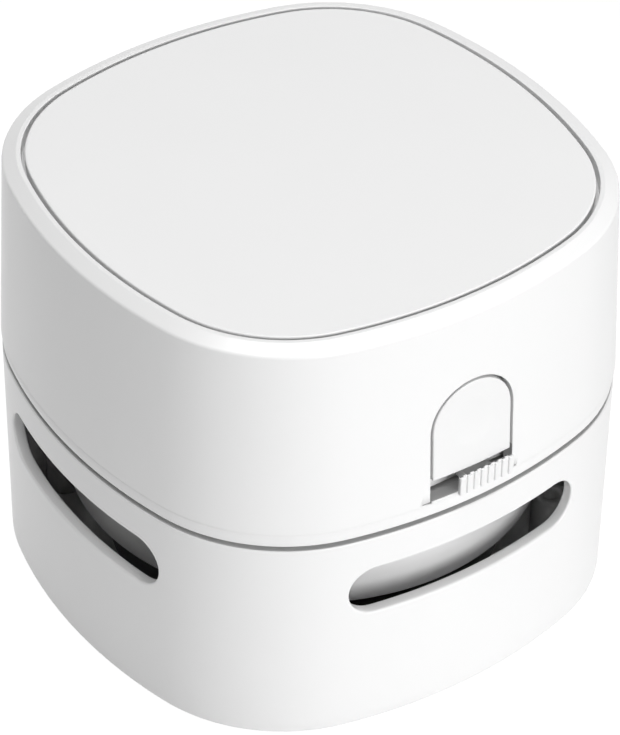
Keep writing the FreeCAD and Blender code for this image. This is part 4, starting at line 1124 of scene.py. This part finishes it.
class CLEANER_OT_upper_shell(Builder, bpy.types.Operator):
    """Build the upper housing with its leaning wall, shoulder, cover recess and button window"""
    bl_idname = "cleaner.upper_shell"
    bl_label = "Upper shell"

    def execute(self, context):
        scene = context.scene
        plan = Plan(scene)
        upper, control = scene.cleaner_upper, scene.cleaner_control
        low, high = UPPER_LOW.z, UPPER_HIGH.z
        foot = low + control.window_foot
        centre = foot + control.button_foot + control.straight
        # rows of points up the wall, which the window's opening is set into
        patch_half, row = 10 * MM, MM
        patch_high = centre + control.window_half + 3 * row
        rows = [plan.skirt + 0.6 * FINE, foot + 1.5 * row, *between(foot + 3.4 * row, centre, 8),
                *between(centre + row, patch_high, 7)]
        recess = plan.recess
        ledge = recess + upper.ledge_width
        ledge_top = high - upper.cover_thickness - upper.cover_rest
        roof = ledge_top - upper.ledge_thickness
        edge = upper.edge_round

        def inside(z):
            return upper.wall + plan.lean(z)

        # a fine groove marks the top of the skirt
        groove = [(0.4 * FINE, plan.skirt - 2.4 * FINE, 0), (1.1 * FINE, plan.skirt - 1.2 * FINE, 0)]
        profile = rounded([(upper.skirt_inset, low, edge), *groove, (0, plan.skirt, 0)]
                          + [(plan.lean(z), z, 0) for z in rows]
                          + [(upper.wall_lean, high - upper.shoulder_height, upper.shoulder_round),
                             (plan.shoulder, high, edge), (recess, high, 1.2 * FINE),
                             (recess, ledge_top, FINE), (ledge, ledge_top, edge / 2),
                             (ledge, roof, edge / 2), (inside(roof), roof, edge)]
                          + [(inside(z), z, 0) for z in reversed(rows)]
                          + [(upper.wall, low, edge / 2)], edge)
        skin = Skin()
        wall = Wall(skin, plan, profile, rows, plan.lean, inside)
        hole = arch_hole(control.middle, control.window_half, foot, centre, patch_half, rows)
        Opening(wall, 0, patch_half, hole, control.window_lip)
        self.inner_work(skin, plan, scene)
        piece = skin.object("upper_housing", "housing_white")
        carved(piece, self.marks(plan, control, foot))
        self.place(piece, "housing", "housing_white", "upper_shell")
        return {"FINISHED"}

    def marks(self, plan, control, foot):
        """Cutter of the small marks at the lower corners of the slot; the left one is pointed."""
        skin = Skin()
        high = foot + FINE
        low = high - control.mark_height
        tip = low + 0.3 * control.mark_height
        front = -UPPER_HIGH.x - MM
        for side, start, end, outer_low in ((-1, -0.3 * MM, control.mark_length, tip),
                                            (1, 0.35 * MM, control.right_mark, low)):
            x = control.middle + side * control.window_half
            back = control.mark_depth - plan.depth(x, 0)
            near, far = x + side * start, x + side * end
            outline = [(near, low), (far, outer_low), (far, high), (near, high)]
            skin.capped([skin.ring([Vector((px, y, pz)) for px, pz in outline]) for y in (front, back)])
        return skin.object("marks", "housing_white")

    def inner_work(self, skin, plan, scene):
        """Corner bosses, the bosses of the latch and the ribs that stand on the spigot."""
        inner, lower = scene.cleaner_inner, scene.cleaner_lower
        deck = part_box("deck_screws")[0].z + inner.head_height + inner.deck
        self.corner_bosses(skin, plan, inner, deck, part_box("battery_tray")[0].z - FINE)
        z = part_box("latch_screws")[1].z - inner.latch_head
        for side in SIDES:
            x = side * inner.latch_place
            back = plan.depth(x, scene.cleaner_upper.wall / 2 + plan.lean(z))
            turn = Matrix.Translation((x, -back, z)) @ Matrix.Rotation(-math.pi / 2, 4, "X")
            tall = back + YOKE_HIGH.y - inner.yoke_plate - FINE
            skin.tube(inner.bore_radius, inner.latch_boss, 0, tall, turn)
        low = LOWER_HIGH.z + inner.rib_play
        along = plan.screw - inner.rib_offset
        root = scene.cleaner_upper.wall - inner.rib_root
        reach = scene.cleaner_upper.wall + lower.spigot_play + lower.spigot_thickness
        for quarter in range(4):
            turn = Matrix.Rotation(quarter * math.pi / 2, 4, "Z")
            for side in SIDES:
                x = side * along
                skin.block((x - inner.web / 2, -plan.depth(along, root), low),
                           (x + inner.web / 2, -plan.depth(along, reach), low + inner.rib_height), turn)


class CLEANER_OT_lower_shell(Builder, bpy.types.Operator):
    """Build the lower shell with its spigot and the four exhaust vents"""
    bl_idname = "cleaner.lower_shell"
    bl_label = "Lower shell"

    def execute(self, context):
        scene = context.scene
        plan = Plan(scene)
        lower, upper = scene.cleaner_lower, scene.cleaner_upper
        low, top = LOWER_LOW.z, LOWER_HIGH.z
        seam = top - lower.spigot_height
        inset = UPPER_HIGH.x - LOWER_HIGH.x
        inner = inset + lower.wall
        spigot = upper.wall + lower.spigot_play
        middle = low + lower.vent_middle
        half = lower.vent_height / 2
        beside, patch_half = 1.4 * MM, 21 * MM
        rows = between(middle - half - beside, middle + half + beside, 12)
        edge = upper.edge_round
        profile = rounded([(inset, low, edge)] + [(inset, z, 0) for z in rows]
                          + [(inset, seam, edge), (spigot, seam, edge / 3), (spigot, top, edge),
                             (spigot + lower.spigot_thickness, top, edge),
                             (spigot + lower.spigot_thickness, seam - lower.spigot_ledge, edge / 3),
                             (inner, seam - lower.spigot_ledge, edge / 3)]
                          + [(inner, z, 0) for z in reversed(rows)] + [(inner, low, edge / 3)], edge)
        skin = Skin()
        wall = Wall(skin, plan, profile, rows, lambda z: inset, lambda z: inner)
        hole = obround_hole(lower.vent_half_length, half, middle, patch_half, rows)
        for quarter in range(4):
            Opening(wall, quarter, patch_half, hole, lower.vent_lip)
        bosses = scene.cleaner_inner
        self.corner_bosses(skin, plan, bosses, CUP_LOW.z, CUP_LOW.z + bosses.boss_height)
        piece = skin.object("lower_housing", "base_white")
        self.place(piece, "base", "base_white", "lower_shell")
        return {"FINISHED"}


class CLEANER_OT_battery_cover(Builder, bpy.types.Operator):
    """Build the battery cover with its lip and its two ribs"""
    bl_idname = "cleaner.battery_cover"
    bl_label = "Battery cover"

    def execute(self, context):
        scene = context.scene
        plan = Plan(scene)
        upper = scene.cleaner_upper
        inset = plan.recess + upper.cover_gap
        high = COVER_HIGH.z
        under = high - upper.cover_thickness
        lip = plan.recess + upper.ledge_width + upper.lip_play
        inside = lip + upper.lip_wall
        # the profile's two ends lie inside the lip; caps close the plate between them
        middle = inside + MM
        edge = 2.5 * FINE
        path = rounded([(middle, under, 0), (inside, under, 0), (inside, COVER_LOW.z, edge),
                        (lip, COVER_LOW.z, edge), (lip, under, edge / 2), (inset, under, edge),
                        (inset, high, edge), (middle, high, 0)], edge)
        skin = Skin()
        skin.capped([skin.ring(plan.ring(place, z)) for place, z in path])
        half = scene.cleaner_inner.web / 2
        reach = UPPER_HIGH.x - lip - upper.lip_wall / 2
        for side in SIDES:
            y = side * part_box("motor_can")[1].y
            skin.block((-reach, y - half, under - upper.lid_rib), (reach, y + half, under + half))
        piece = skin.object("top_cover", "cover_white")
        self.place(piece, "cover", "housing_white", "battery_cover")
        return {"FINISHED"}


def arch_outline(half, foot, centre, steps):
    """Points of an arch with a square foot, from the lower left corner, with outward directions."""
    outline = [((half * (2 * i / steps - 1), foot), (-1 if i == 0 else 0, -1)) for i in range(steps)]
    outline += [((half, foot + (centre - foot) * i / steps), (1, -1 if i == 0 else 0))
                for i in range(steps)]
    for i in range(2 * steps):
        a = math.pi * i / (2 * steps)
        outline.append(((half * math.cos(a), centre + half * math.sin(a)), (math.cos(a), math.sin(a))))
    outline += [((-half, centre - (centre - foot) * i / steps), (-1, 0)) for i in range(steps)]
    return outline


class CLEANER_OT_release_button(Builder, bpy.types.Operator):
    """Build the arched push button with its finger dish, its flange and its stem"""
    bl_idname = "cleaner.release_button"
    bl_label = "Release button"

    dish_shares = (0.12, 0.3, 0.5, 0.66, 0.78, 0.86, 0.92, 0.97, 1.0, 1.03, 1.08, 1.16)
    face_shares = (0.25, 0.5, 0.75, 0.92)
    columns_a_side = 16

    def execute(self, context):
        scene = context.scene
        self.plan = Plan(scene)
        self.sizes = control = scene.cleaner_control
        half = control.window_half - control.button_gap
        foot = UPPER_LOW.z + control.window_foot + control.button_foot
        self.centre = centre = foot + control.straight
        outline = arch_outline(half, foot, centre, self.columns_a_side)
        flange = arch_outline(control.flange_half, foot + control.flange_lift, centre, self.columns_a_side)
        skin = Skin()
        angles = [math.atan2(z - centre, x) for (x, z), _ in outline]
        lip, thick = control.button_round, control.button_thickness
        back = thick + control.flange_thickness

        def loop(points, grow, sink):
            return skin.ring([self.face(x + nx * grow, z + nz * grow, sink)
                              for (x, z), (nx, nz) in points])

        dish = [[(r * math.cos(a), centre + r * math.sin(a)) for a in angles]
                for r in (control.dish_radius * share for share in self.dish_shares)]
        rings = [skin.ring([self.face(x, z) for x, z in circle_points]) for circle_points in dish]
        for share in self.face_shares:
            rings.append(skin.ring([
                self.face(px + (x - nx * 2 * lip - px) * share, pz + (z - nz * 2 * lip - pz) * share)
                for ((x, z), (nx, nz)), (px, pz) in zip(outline, dish[-1])]))
        rings.append(loop(outline, -HOLD * lip, 0))
        rings += [loop(outline, -out, down) for out, down in lip_steps(lip)]
        rings += [loop(outline, 0, HOLD * lip), loop(outline, 0, thick - FINE), loop(outline, 0, thick),
                  loop(flange, -FINE, thick), loop(flange, 0, thick + FINE),
                  loop(flange, 0, back - FINE), loop(flange, -FINE, back)]
        skin.capped(rings)
        middle, stem, root = control.middle, foot + control.stem_middle, BUTTON_BACK - control.stem_length
        skin.block((middle - control.stem_half_width, root, stem - control.stem_half),
                   (middle + control.stem_half_width, BUTTON_BACK, stem + control.stem_half))
        piece = skin.object("push_button", "control_white")
        self.place(piece, "button", "control_white", "release_button")
        return {"FINISHED"}

    def face(self, x, z, sink=0.0):
        """A point of the button's face, x from its own middle, or of a layer sunk behind it."""
        plan, sizes = self.plan, self.sizes
        out = plan.depth(x + sizes.middle, plan.lean(z))
        # the dish is a ball's cap, and its rim is softened over a small depth
        near, soft = 1.4 * sizes.dish_radius, 0.015 * MM
        if math.hypot(x, z - self.centre) < near:
            ball = (sizes.dish_radius**2 + sizes.dish_depth**2) / (2 * sizes.dish_depth)
            away = ball - sizes.dish_depth
            up = z - self.centre - away * plan.slope
            dish = UPPER_HIGH.x - plan.lean(self.centre) + away - math.sqrt(ball**2 - x**2 - up**2)
            out = min(out, dish) - soft * math.log1p(math.exp(-abs(out - dish) / soft))
        return placed(0, x + sizes.middle, out - sink, z)


class CLEANER_OT_slider_knob(Builder, bpy.types.Operator):
    """Build the ribbed slider, with the neck and the carrier behind it"""
    bl_idname = "cleaner.slider_knob"
    bl_label = "Slider knob"

    def execute(self, context):
        scene = context.scene
        knob, control = scene.cleaner_knob, scene.cleaner_control
        right = control.middle + control.window_half - knob.end_gap
        left = right - knob.width
        middle = (left + right) / 2
        low = UPPER_LOW.z + control.window_foot + knob.play
        face, back = KNOB_LOW.y, KNOB_HIGH.y
        root = face + knob.groove_depth
        front = back - knob.carrier
        skin = Skin()
        skin.block((left, root, low), (right, face + knob.cap, low + knob.height))
        skin.block((middle - knob.neck_half_width, face + knob.cap - FINE, low),
                   (middle + knob.neck_half_width, front + FINE, low + knob.neck_height))
        deep, wide = knob.chamfer_depth, knob.chamfer_width
        skin.post([(KNOB_LOW.x, front + deep), (KNOB_LOW.x + wide, front),
                   (KNOB_HIGH.x - wide, front), (KNOB_HIGH.x, front + deep),
                   (KNOB_HIGH.x, back), (KNOB_LOW.x, back)], KNOB_LOW.z, KNOB_HIGH.z)
        piece = skin.object("slider_knob", "control_white", smooth=False)
        pitch = (knob.width + knob.groove) / knob.ribs
        rib_width = pitch - knob.groove
        depth = 2 * knob.groove_depth
        rib_tree().grow(piece, "control_white", {
            "Ribs": knob.ribs, "Pitch": pitch, "Width": rib_width, "Depth": depth,
            "Height": knob.height, "Round": knob.rib_round,
            "First": (left + rib_width / 2, face + depth / 2, low)})
        softened(piece, knob.edge_round)
        # the carrier behind the wall gets a grey of painted shade, though it is the knob's white plastic
        piece.data.materials.append(finish_of("carrier_grey"))
        for polygon in piece.data.polygons:
            if polygon.center.y > front - FINE / 2:
                polygon.material_index = 1
        self.place(piece, "switch", "control_white", "switch_knob")
        return {"FINISHED"}


class CLEANER_OT_collar_and_cup(Builder, bpy.types.Operator):
    """Build the bright collar and the dark cup behind the vents"""
    bl_idname = "cleaner.collar_and_cup"
    bl_label = "Collar and cup"

    def execute(self, context):
        inner = context.scene.cleaner_inner
        outer, low, high = COLLAR_HIGH.x, COLLAR_LOW.z, COLLAR_HIGH.z
        inside = outer - inner.collar_wall
        cup = outer - inner.cup_step
        ledge = cup - inner.cup_wall
        ledge_low = CUP_HIGH.z + FINE
        ledge_high = ledge_low + inner.cup_flange
        profile = [(inside, low), (outer, low, 0.5 * MM), (outer, high, 0.3 * MM), (inside, high),
                   (inside, ledge_high), (ledge, ledge_high), (ledge, ledge_low), (inside, ledge_low)]
        collar = turned("bright_collar", "collar_gloss", profile, 1.5 * FINE, 192)
        self.place(collar, "base", "collar_gloss", "filter_collar")

        foot, top = CUP_LOW.z, CUP_HIGH.z
        narrow, flange = cup - inner.cup_draft, top - inner.cup_flange
        # the floor starts at a small eye, which the cutter of the mouth takes away
        floor, eye = foot + inner.cup_floor, 2 * MM
        profile = [(eye, foot), (narrow, foot, 1.6 * MM), (cup, flange), (CUP_HIGH.x, flange),
                   (CUP_HIGH.x, top), (ledge, top), (narrow - inner.cup_wall, floor, 1.2 * MM), (eye, floor)]
        dust_cup = turned("smoked_cup", "cup_dark", profile, 2 * FINE, 128)
        mouth = Skin()
        mouth.post(obround(inner.mouth_half_length, inner.mouth_half_width), foot - MM, floor + MM)
        carved(dust_cup, mouth.object("mouth", "cup_dark"))
        self.place(dust_cup, "base", "cup_dark", "dust_cup")
        return {"FINISHED"}


class CLEANER_OT_fan(Builder, bpy.types.Operator):
    """Build the fan with its backward-curved blades"""
    bl_idname = "cleaner.fan"
    bl_label = "Fan"

    def execute(self, context):
        fan = context.scene.cleaner_fan
        foot, top, rim = FAN_LOW.z, FAN_HIGH.z, FAN_HIGH.x
        plate, hub_foot = top - fan.plate, foot + fan.hub_short
        profile = [(fan.bore, hub_foot), (fan.hub, hub_foot), (fan.hub, plate, 0.8 * MM), (rim, plate),
                   (rim, top), (fan.bore, top)]
        piece = turned("fan_wheel", "inner_plastic", profile, 2 * FINE, 96)
        blade_tree().grow(piece, "inner_plastic", {
            "Blades": fan.blades, "Start": fan.start, "Rim": rim - FINE, "Bow": fan.bow,
            "Thickness": fan.thickness, "Eye": fan.eye, "Taper": fan.taper, "Foot": foot,
            "Top": plate + 2 * FINE})
        self.place(piece, "fan", "inner_plastic", "impeller")
        return {"FINISHED"}


class CLEANER_OT_screws(Builder, bpy.types.Operator):
    """Put every group of screws in its place"""
    bl_idname = "cleaner.screws"
    bl_label = "Screws"

    def execute(self, context):
        scene = context.scene
        inner = scene.cleaner_inner
        corner = Plan(scene).screw * math.sqrt(2)
        tree, head = ring_tree(), inner.head_height
        tilts = {"up": (0, 0, 0), "down": (math.pi, 0, 0), "forwards": (math.pi / 2, 0, 0)}
        rings = (
            ("base_screws", "base", 4, corner, 45, "up"),
            ("deck_screws", "housing", 4, corner, 45, "up"),
            ("fan_cover_screws", "housing", 3, inner.fan_circle, 10, "up"),
            ("tray_screws", "housing", 2, inner.tray_span, 0, "down"),
            ("latch_screws", "housing", 2, inner.latch_place, 0, "forwards"),
        )
        for seed, (node, body, screws, radius, turn, way) in enumerate(rings, start=1):
            low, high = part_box(node)
            head_radius, axis, spin, middle = inner.head_radius, 2, (0, 0, 1), 0
            if way == "forwards":
                head_radius, axis, spin, middle = inner.latch_head, 1, (0, 1, 0), (low.z + high.z) / 2
            centre = [0, 0, middle]
            centre[axis] = low[axis] + head if way == "up" else high[axis] - head
            shank = high[axis] - low[axis] - head
            skin = screw_skin(head_radius, head, inner.screw_radius, inner.thread_pitch, shank)
            piece = skin.object(node + "_detail", "screw_steel")
            tree.grow(piece, "screw_steel", {
                "Screws": screws, "Radius": radius, "Turn": math.radians(turn), "Centre": centre,
                "Tilt": tilts[way], "Spin": spin, "Seed": seed})
            self.place(piece, body, "screw_steel", node)
        return {"FINISHED"}


class CLEANER_OT_bristles(Builder, bpy.types.Operator):
    """Build the two rows of bristles under the base"""
    bl_idname = "cleaner.bristles"
    bl_label = "Bristles"

    def execute(self, context):
        sizes = context.scene.cleaner_bristles
        tree = bristle_tree()
        for node in ("bristles_front", "bristles_rear"):
            low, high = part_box(node)
            tuft = high.y - low.y
            piece = linked(node + "_strands", bpy.data.meshes.new(node + "_strands"))
            tree.grow(piece, "bristle_nylon", {
                "Tufts": sizes.tufts, "Strands": sizes.strands,
                "Pitch": (high.x - low.x - tuft) / (sizes.tufts - 1),
                "Tuft Radius": sizes.tuft_radius, "Strand Radius": sizes.strand_radius,
                "Length": high.z - low.z, "Splay": sizes.splay,
                "Root": (0, (low.y + high.y) / 2, high.z), "Seed": sizes.seed})
            self.place(piece, "base", "bristle_nylon", node)
        return {"FINISHED"}


class CLEANER_OT_cells(Builder, bpy.types.Operator):
    """Build the two cells with their crimped ends"""
    bl_idname = "cleaner.cells"
    bl_label = "Cells"

    def execute(self, context):
        inner = context.scene.cleaner_inner
        for name, way in (("cell_front", 1), ("cell_rear", -1)):
            low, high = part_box(name)
            radius = (high.z - low.z) / 2
            end = (high.x - low.x) - inner.nub_height
            sunk, nub = 0.35 * MM, inner.nub_radius
            # the flat end has a groove inside its rim; the other is sunk between its rim and the nub
            loop = [(FINE, 0), (radius - 1.6 * MM, 0), (radius - 1.3 * MM, sunk), (radius - 0.9 * MM, sunk),
                    (radius - 0.7 * MM, 0), (radius, 0, 0.5 * MM), (radius, end, 0.5 * MM),
                    (radius - MM, end), (radius - 1.2 * MM, end - sunk), (nub + 0.6 * MM, end - sunk),
                    (nub, end + inner.nub_height / 4), (nub, end + inner.nub_height, 0.4 * MM),
                    (FINE, end + inner.nub_height)]
            start = low.x if way > 0 else high.x
            turn = (Matrix.Translation((start, (low.y + high.y) / 2, (low.z + high.z) / 2))
                    @ Matrix.Rotation(way * math.pi / 2, 4, "Y"))
            piece = turned(name + "_detail", name + "_jacket", loop, 1.2 * FINE, 96, turn)
            self.place(piece, "housing", "cell_jacket", name)
        return {"FINISHED"}


class CLEANER_OT_latch(Builder, bpy.types.Operator):
    """Build copies of the latch and the button's spring, and cut the latch into slices where its legs bend
    as the button goes in
    """
    bl_idname = "cleaner.latch"
    bl_label = "Latch and spring"

    def execute(self, context):
        inner = context.scene.cleaner_inner
        latch = copy_of("latch_yoke", "latch_frame", "inner_plastic")
        bend_high = YOKE_HIGH.z - inner.yoke_fixed
        bend_low = bend_high - inner.yoke_bend
        with edited(latch.data) as work:
            for z in between(bend_low, bend_high, 8):
                bmesh.ops.bisect_plane(work, geom=work.verts[:] + work.edges[:] + work.faces[:],
                                       plane_co=(0, 0, z), plane_no=(0, 0, 1))
        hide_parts("latch_yoke")
        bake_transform(latch)

        spring = copy_of("button_spring", "bow_spring", "contact_plate")
        self.place(spring, "housing", "contact_plate", "button_spring")
        deep = SPRING_HIGH.y - SPRING_LOW.y
        travel = next(j for j in frame["joints"] if j["name"] == "button_press")["range_m"][1]
        1 - travel / deep
        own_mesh(spring)
        return {"FINISHED"}


class CLEANER_OT_packed_pieces(Builder, bpy.types.Operator):
    """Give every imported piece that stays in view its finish"""
    bl_idname = "cleaner.packed_pieces"
    bl_label = "Packed pieces"

    finishes = {
        "base_white": ("base_plate",),
        "cup_dark": ("inlet_throat",),
        "cap_plastic": ("brush_bar_front", "brush_bar_rear", "motor_end_cap", "switch_body", "switch_lever"),
        "glide_pad": ("glides",),
        "inner_plastic": ("filter_frame", "fan_cover", "motor_deck", "battery_tray"),
        "filter_paper": ("filter_medium",),
        "seal_rubber": ("cup_seal",),
        "pad_foam": ("cover_pads",),
        "motor_steel": ("motor_can", "motor_shaft"),
        "bronze": ("motor_bushes",),
        "contact_plate": ("motor_terminals", "series_contact", "end_contacts", "contact_springs",
                          "switch_terminals"),
    }

    def execute(self, context):
        for finish, nodes in self.finishes.items():
            for node in nodes:
                dress(NODES[node].data, finish)
        return {"FINISHED"}


class CLEANER_OT_stage(bpy.types.Operator):
    """Set the floor, the lamps and the camera"""
    bl_idname = "cleaner.stage"
    bl_label = "Stage"

    def execute(self, context):
        scene = context.scene
        settings = scene.cleaner_stage
        self.floor(settings)
        self.world(scene, settings.sky)
        self.lamp(settings, "soft_box", settings.lamp, 0.0, settings.lamp_rise, settings.lamp_away)
        self.lamp(settings, "low_box", settings.low_lamp, settings.low_turn, settings.low_rise,
                  settings.low_away)
        self.camera(scene, settings)
        scene.view_settings.view_transform = "Standard"
        return {"FINISHED"}

    def floor(self, settings):
        size, low = settings.floor_size, -settings.floor_below
        mesh = bpy.data.meshes.new("floor")
        mesh.from_pydata([(-size, -size, low), (size, -size, low), (size, size, low), (-size, size, low)],
                         [], [(0, 1, 2, 3)])
        floor = linked("floor", mesh)
        sheet = Finish("floor_paper")
        across = sheet.axes(sheet.place)[0]
        shaded = ((across - settings.shade_start) / settings.shade_reach).clamped()
        sheet.shade(settings.paper, shaded, settings.shade_depth)
        sheet.set("Roughness", 0.85 + sheet.noise(3, 2) * 0.1)
        glow = sheet.node("ShaderNodeEmission", None, {"Color": (1, 1, 1, 1), "Strength": settings.glow})
        paper = Value(sheet, sheet.shader.outputs[0])
        share = self.seen(sheet) * settings.glow_share
        mix = sheet.node("ShaderNodeMixShader", None, {0: share, 1: paper, 2: glow})
        from_below = sheet.node("ShaderNodeNewGeometry", output="Backfacing")
        clear = sheet.node("ShaderNodeBsdfTransparent")
        mix = sheet.node("ShaderNodeMixShader", None, {0: from_below, 1: mix, 2: clear})
        sheet.feed(sheet.tree.nodes["Material Output"].inputs["Surface"], mix)
        mesh.materials.append(sheet.material)

    def seen(self, sheet):
        """1 for the camera's own rays and for those of reflections."""
        direct = sheet.node("ShaderNodeLightPath", output="Is Camera Ray")
        return (direct + sheet.node("ShaderNodeLightPath", output="Is Glossy Ray")).clamped()

    def direction(self, turn, rise):
        """Away from the cleaner: turned from the front towards the right, and raised."""
        return Vector((math.sin(turn) * math.cos(rise), -math.cos(turn) * math.cos(rise), math.sin(rise)))

    def world(self, scene, sky):
        world = bpy.data.worlds.new("studio")
        world.use_nodes = True
        scene.world = world
        sheet = Sheet(world.node_tree)
        ground = sheet.tree.nodes["Background"]
        sheet.feed(ground.inputs["Color"], (1, 1, 1, 1))
        sheet.feed(ground.inputs["Strength"], sky + self.seen(sheet) * (1 - sky))

    def lamp(self, settings, name, power, turn, rise, distance):
        """An area lamp whose size keeps its share of the view from the cleaner."""
        data = bpy.data.lights.new(name, "AREA")
        data.shape = "RECTANGLE"
        data.size = settings.lamp_width * distance
        data.size_y = settings.lamp_height * distance
        data.energy = power
        lamp = linked(name, data)
        away = self.direction(turn, rise)
        place = MIDDLE + away * distance
        lamp.matrix_world = Matrix.Translation(place) @ away.to_track_quat("Z", "Y").to_matrix().to_4x4()

    def camera(self, scene, settings):
        turn, roll = settings.azimuth, settings.roll
        back = self.direction(turn, settings.elevation)
        right = Vector((math.cos(turn), math.sin(turn), 0))
        up = back.cross(right)
        target = MIDDLE + right * settings.aside - up * settings.below
        rolled_right = right * math.cos(roll) + up * math.sin(roll)
        rolled_up = up * math.cos(roll) - right * math.sin(roll)
        data = bpy.data.cameras.new("camera")
        data.lens = settings.lens
        data.sensor_width = settings.sensor
        data.clip_start = 10 * MM
        camera = linked("camera", data)
        facing = Matrix((rolled_right, rolled_up, back)).transposed().to_4x4()
        camera.matrix_world = Matrix.Translation(target + back * settings.distance) @ facing
        scene.camera = camera


class CLEANER_PT_panel(bpy.types.Panel):
    """The pieces of the cleaner, in the order of their making"""
    bl_idname = "CLEANER_PT_panel"
    bl_label = "Desktop cleaner"
    bl_space_type = "VIEW_3D"
    bl_region_type = "UI"
    bl_category = "Cleaner"

    def draw(self, context):
        for operator in OPERATORS:
            self.layout.operator(operator.bl_idname)
        for name, group in GROUPS.items():
            box = self.layout.box()
            box.label(text=group.__name__)
            owner = getattr(context.scene, name)
            for prop in group.__annotations__:
                box.prop(owner, prop)


GROUPS = {
    "cleaner_outline": OutlineSizes,
    "cleaner_upper": UpperSizes,
    "cleaner_lower": LowerSizes,
    "cleaner_control": ControlSizes,
    "cleaner_knob": KnobSizes,
    "cleaner_inner": InnerSizes,
    "cleaner_fan": FanSizes,
    "cleaner_bristles": BristleSizes,
    "cleaner_colours": FinishColours,
    "cleaner_stage": StageSettings,
}
OPERATORS = (
    CLEANER_OT_upper_shell,
    CLEANER_OT_lower_shell,
    CLEANER_OT_battery_cover,
    CLEANER_OT_release_button,
    CLEANER_OT_slider_knob,
    CLEANER_OT_collar_and_cup,
    CLEANER_OT_fan,
    CLEANER_OT_screws,
    CLEANER_OT_bristles,
    CLEANER_OT_cells,
    CLEANER_OT_latch,
    CLEANER_OT_packed_pieces,
    CLEANER_OT_stage,
)
CLASSES = (*GROUPS.values(), *OPERATORS, CLEANER_PT_panel)


def register():
    for cls in CLASSES:
        bpy.utils.register_class(cls)
    for name, group in GROUPS.items():
        setattr(bpy.types.Scene, name, bpy.props.PointerProperty(type=group))


def unregister():
    for name in GROUPS:
        delattr(bpy.types.Scene, name)
    for cls in reversed(CLASSES):
        bpy.utils.unregister_class(cls)


def main():
    register()
    for operator in OPERATORS:
        group, name = operator.bl_idname.split(".")
        getattr(getattr(bpy.ops, group), name)()


if __name__ == "__main__":
    main()
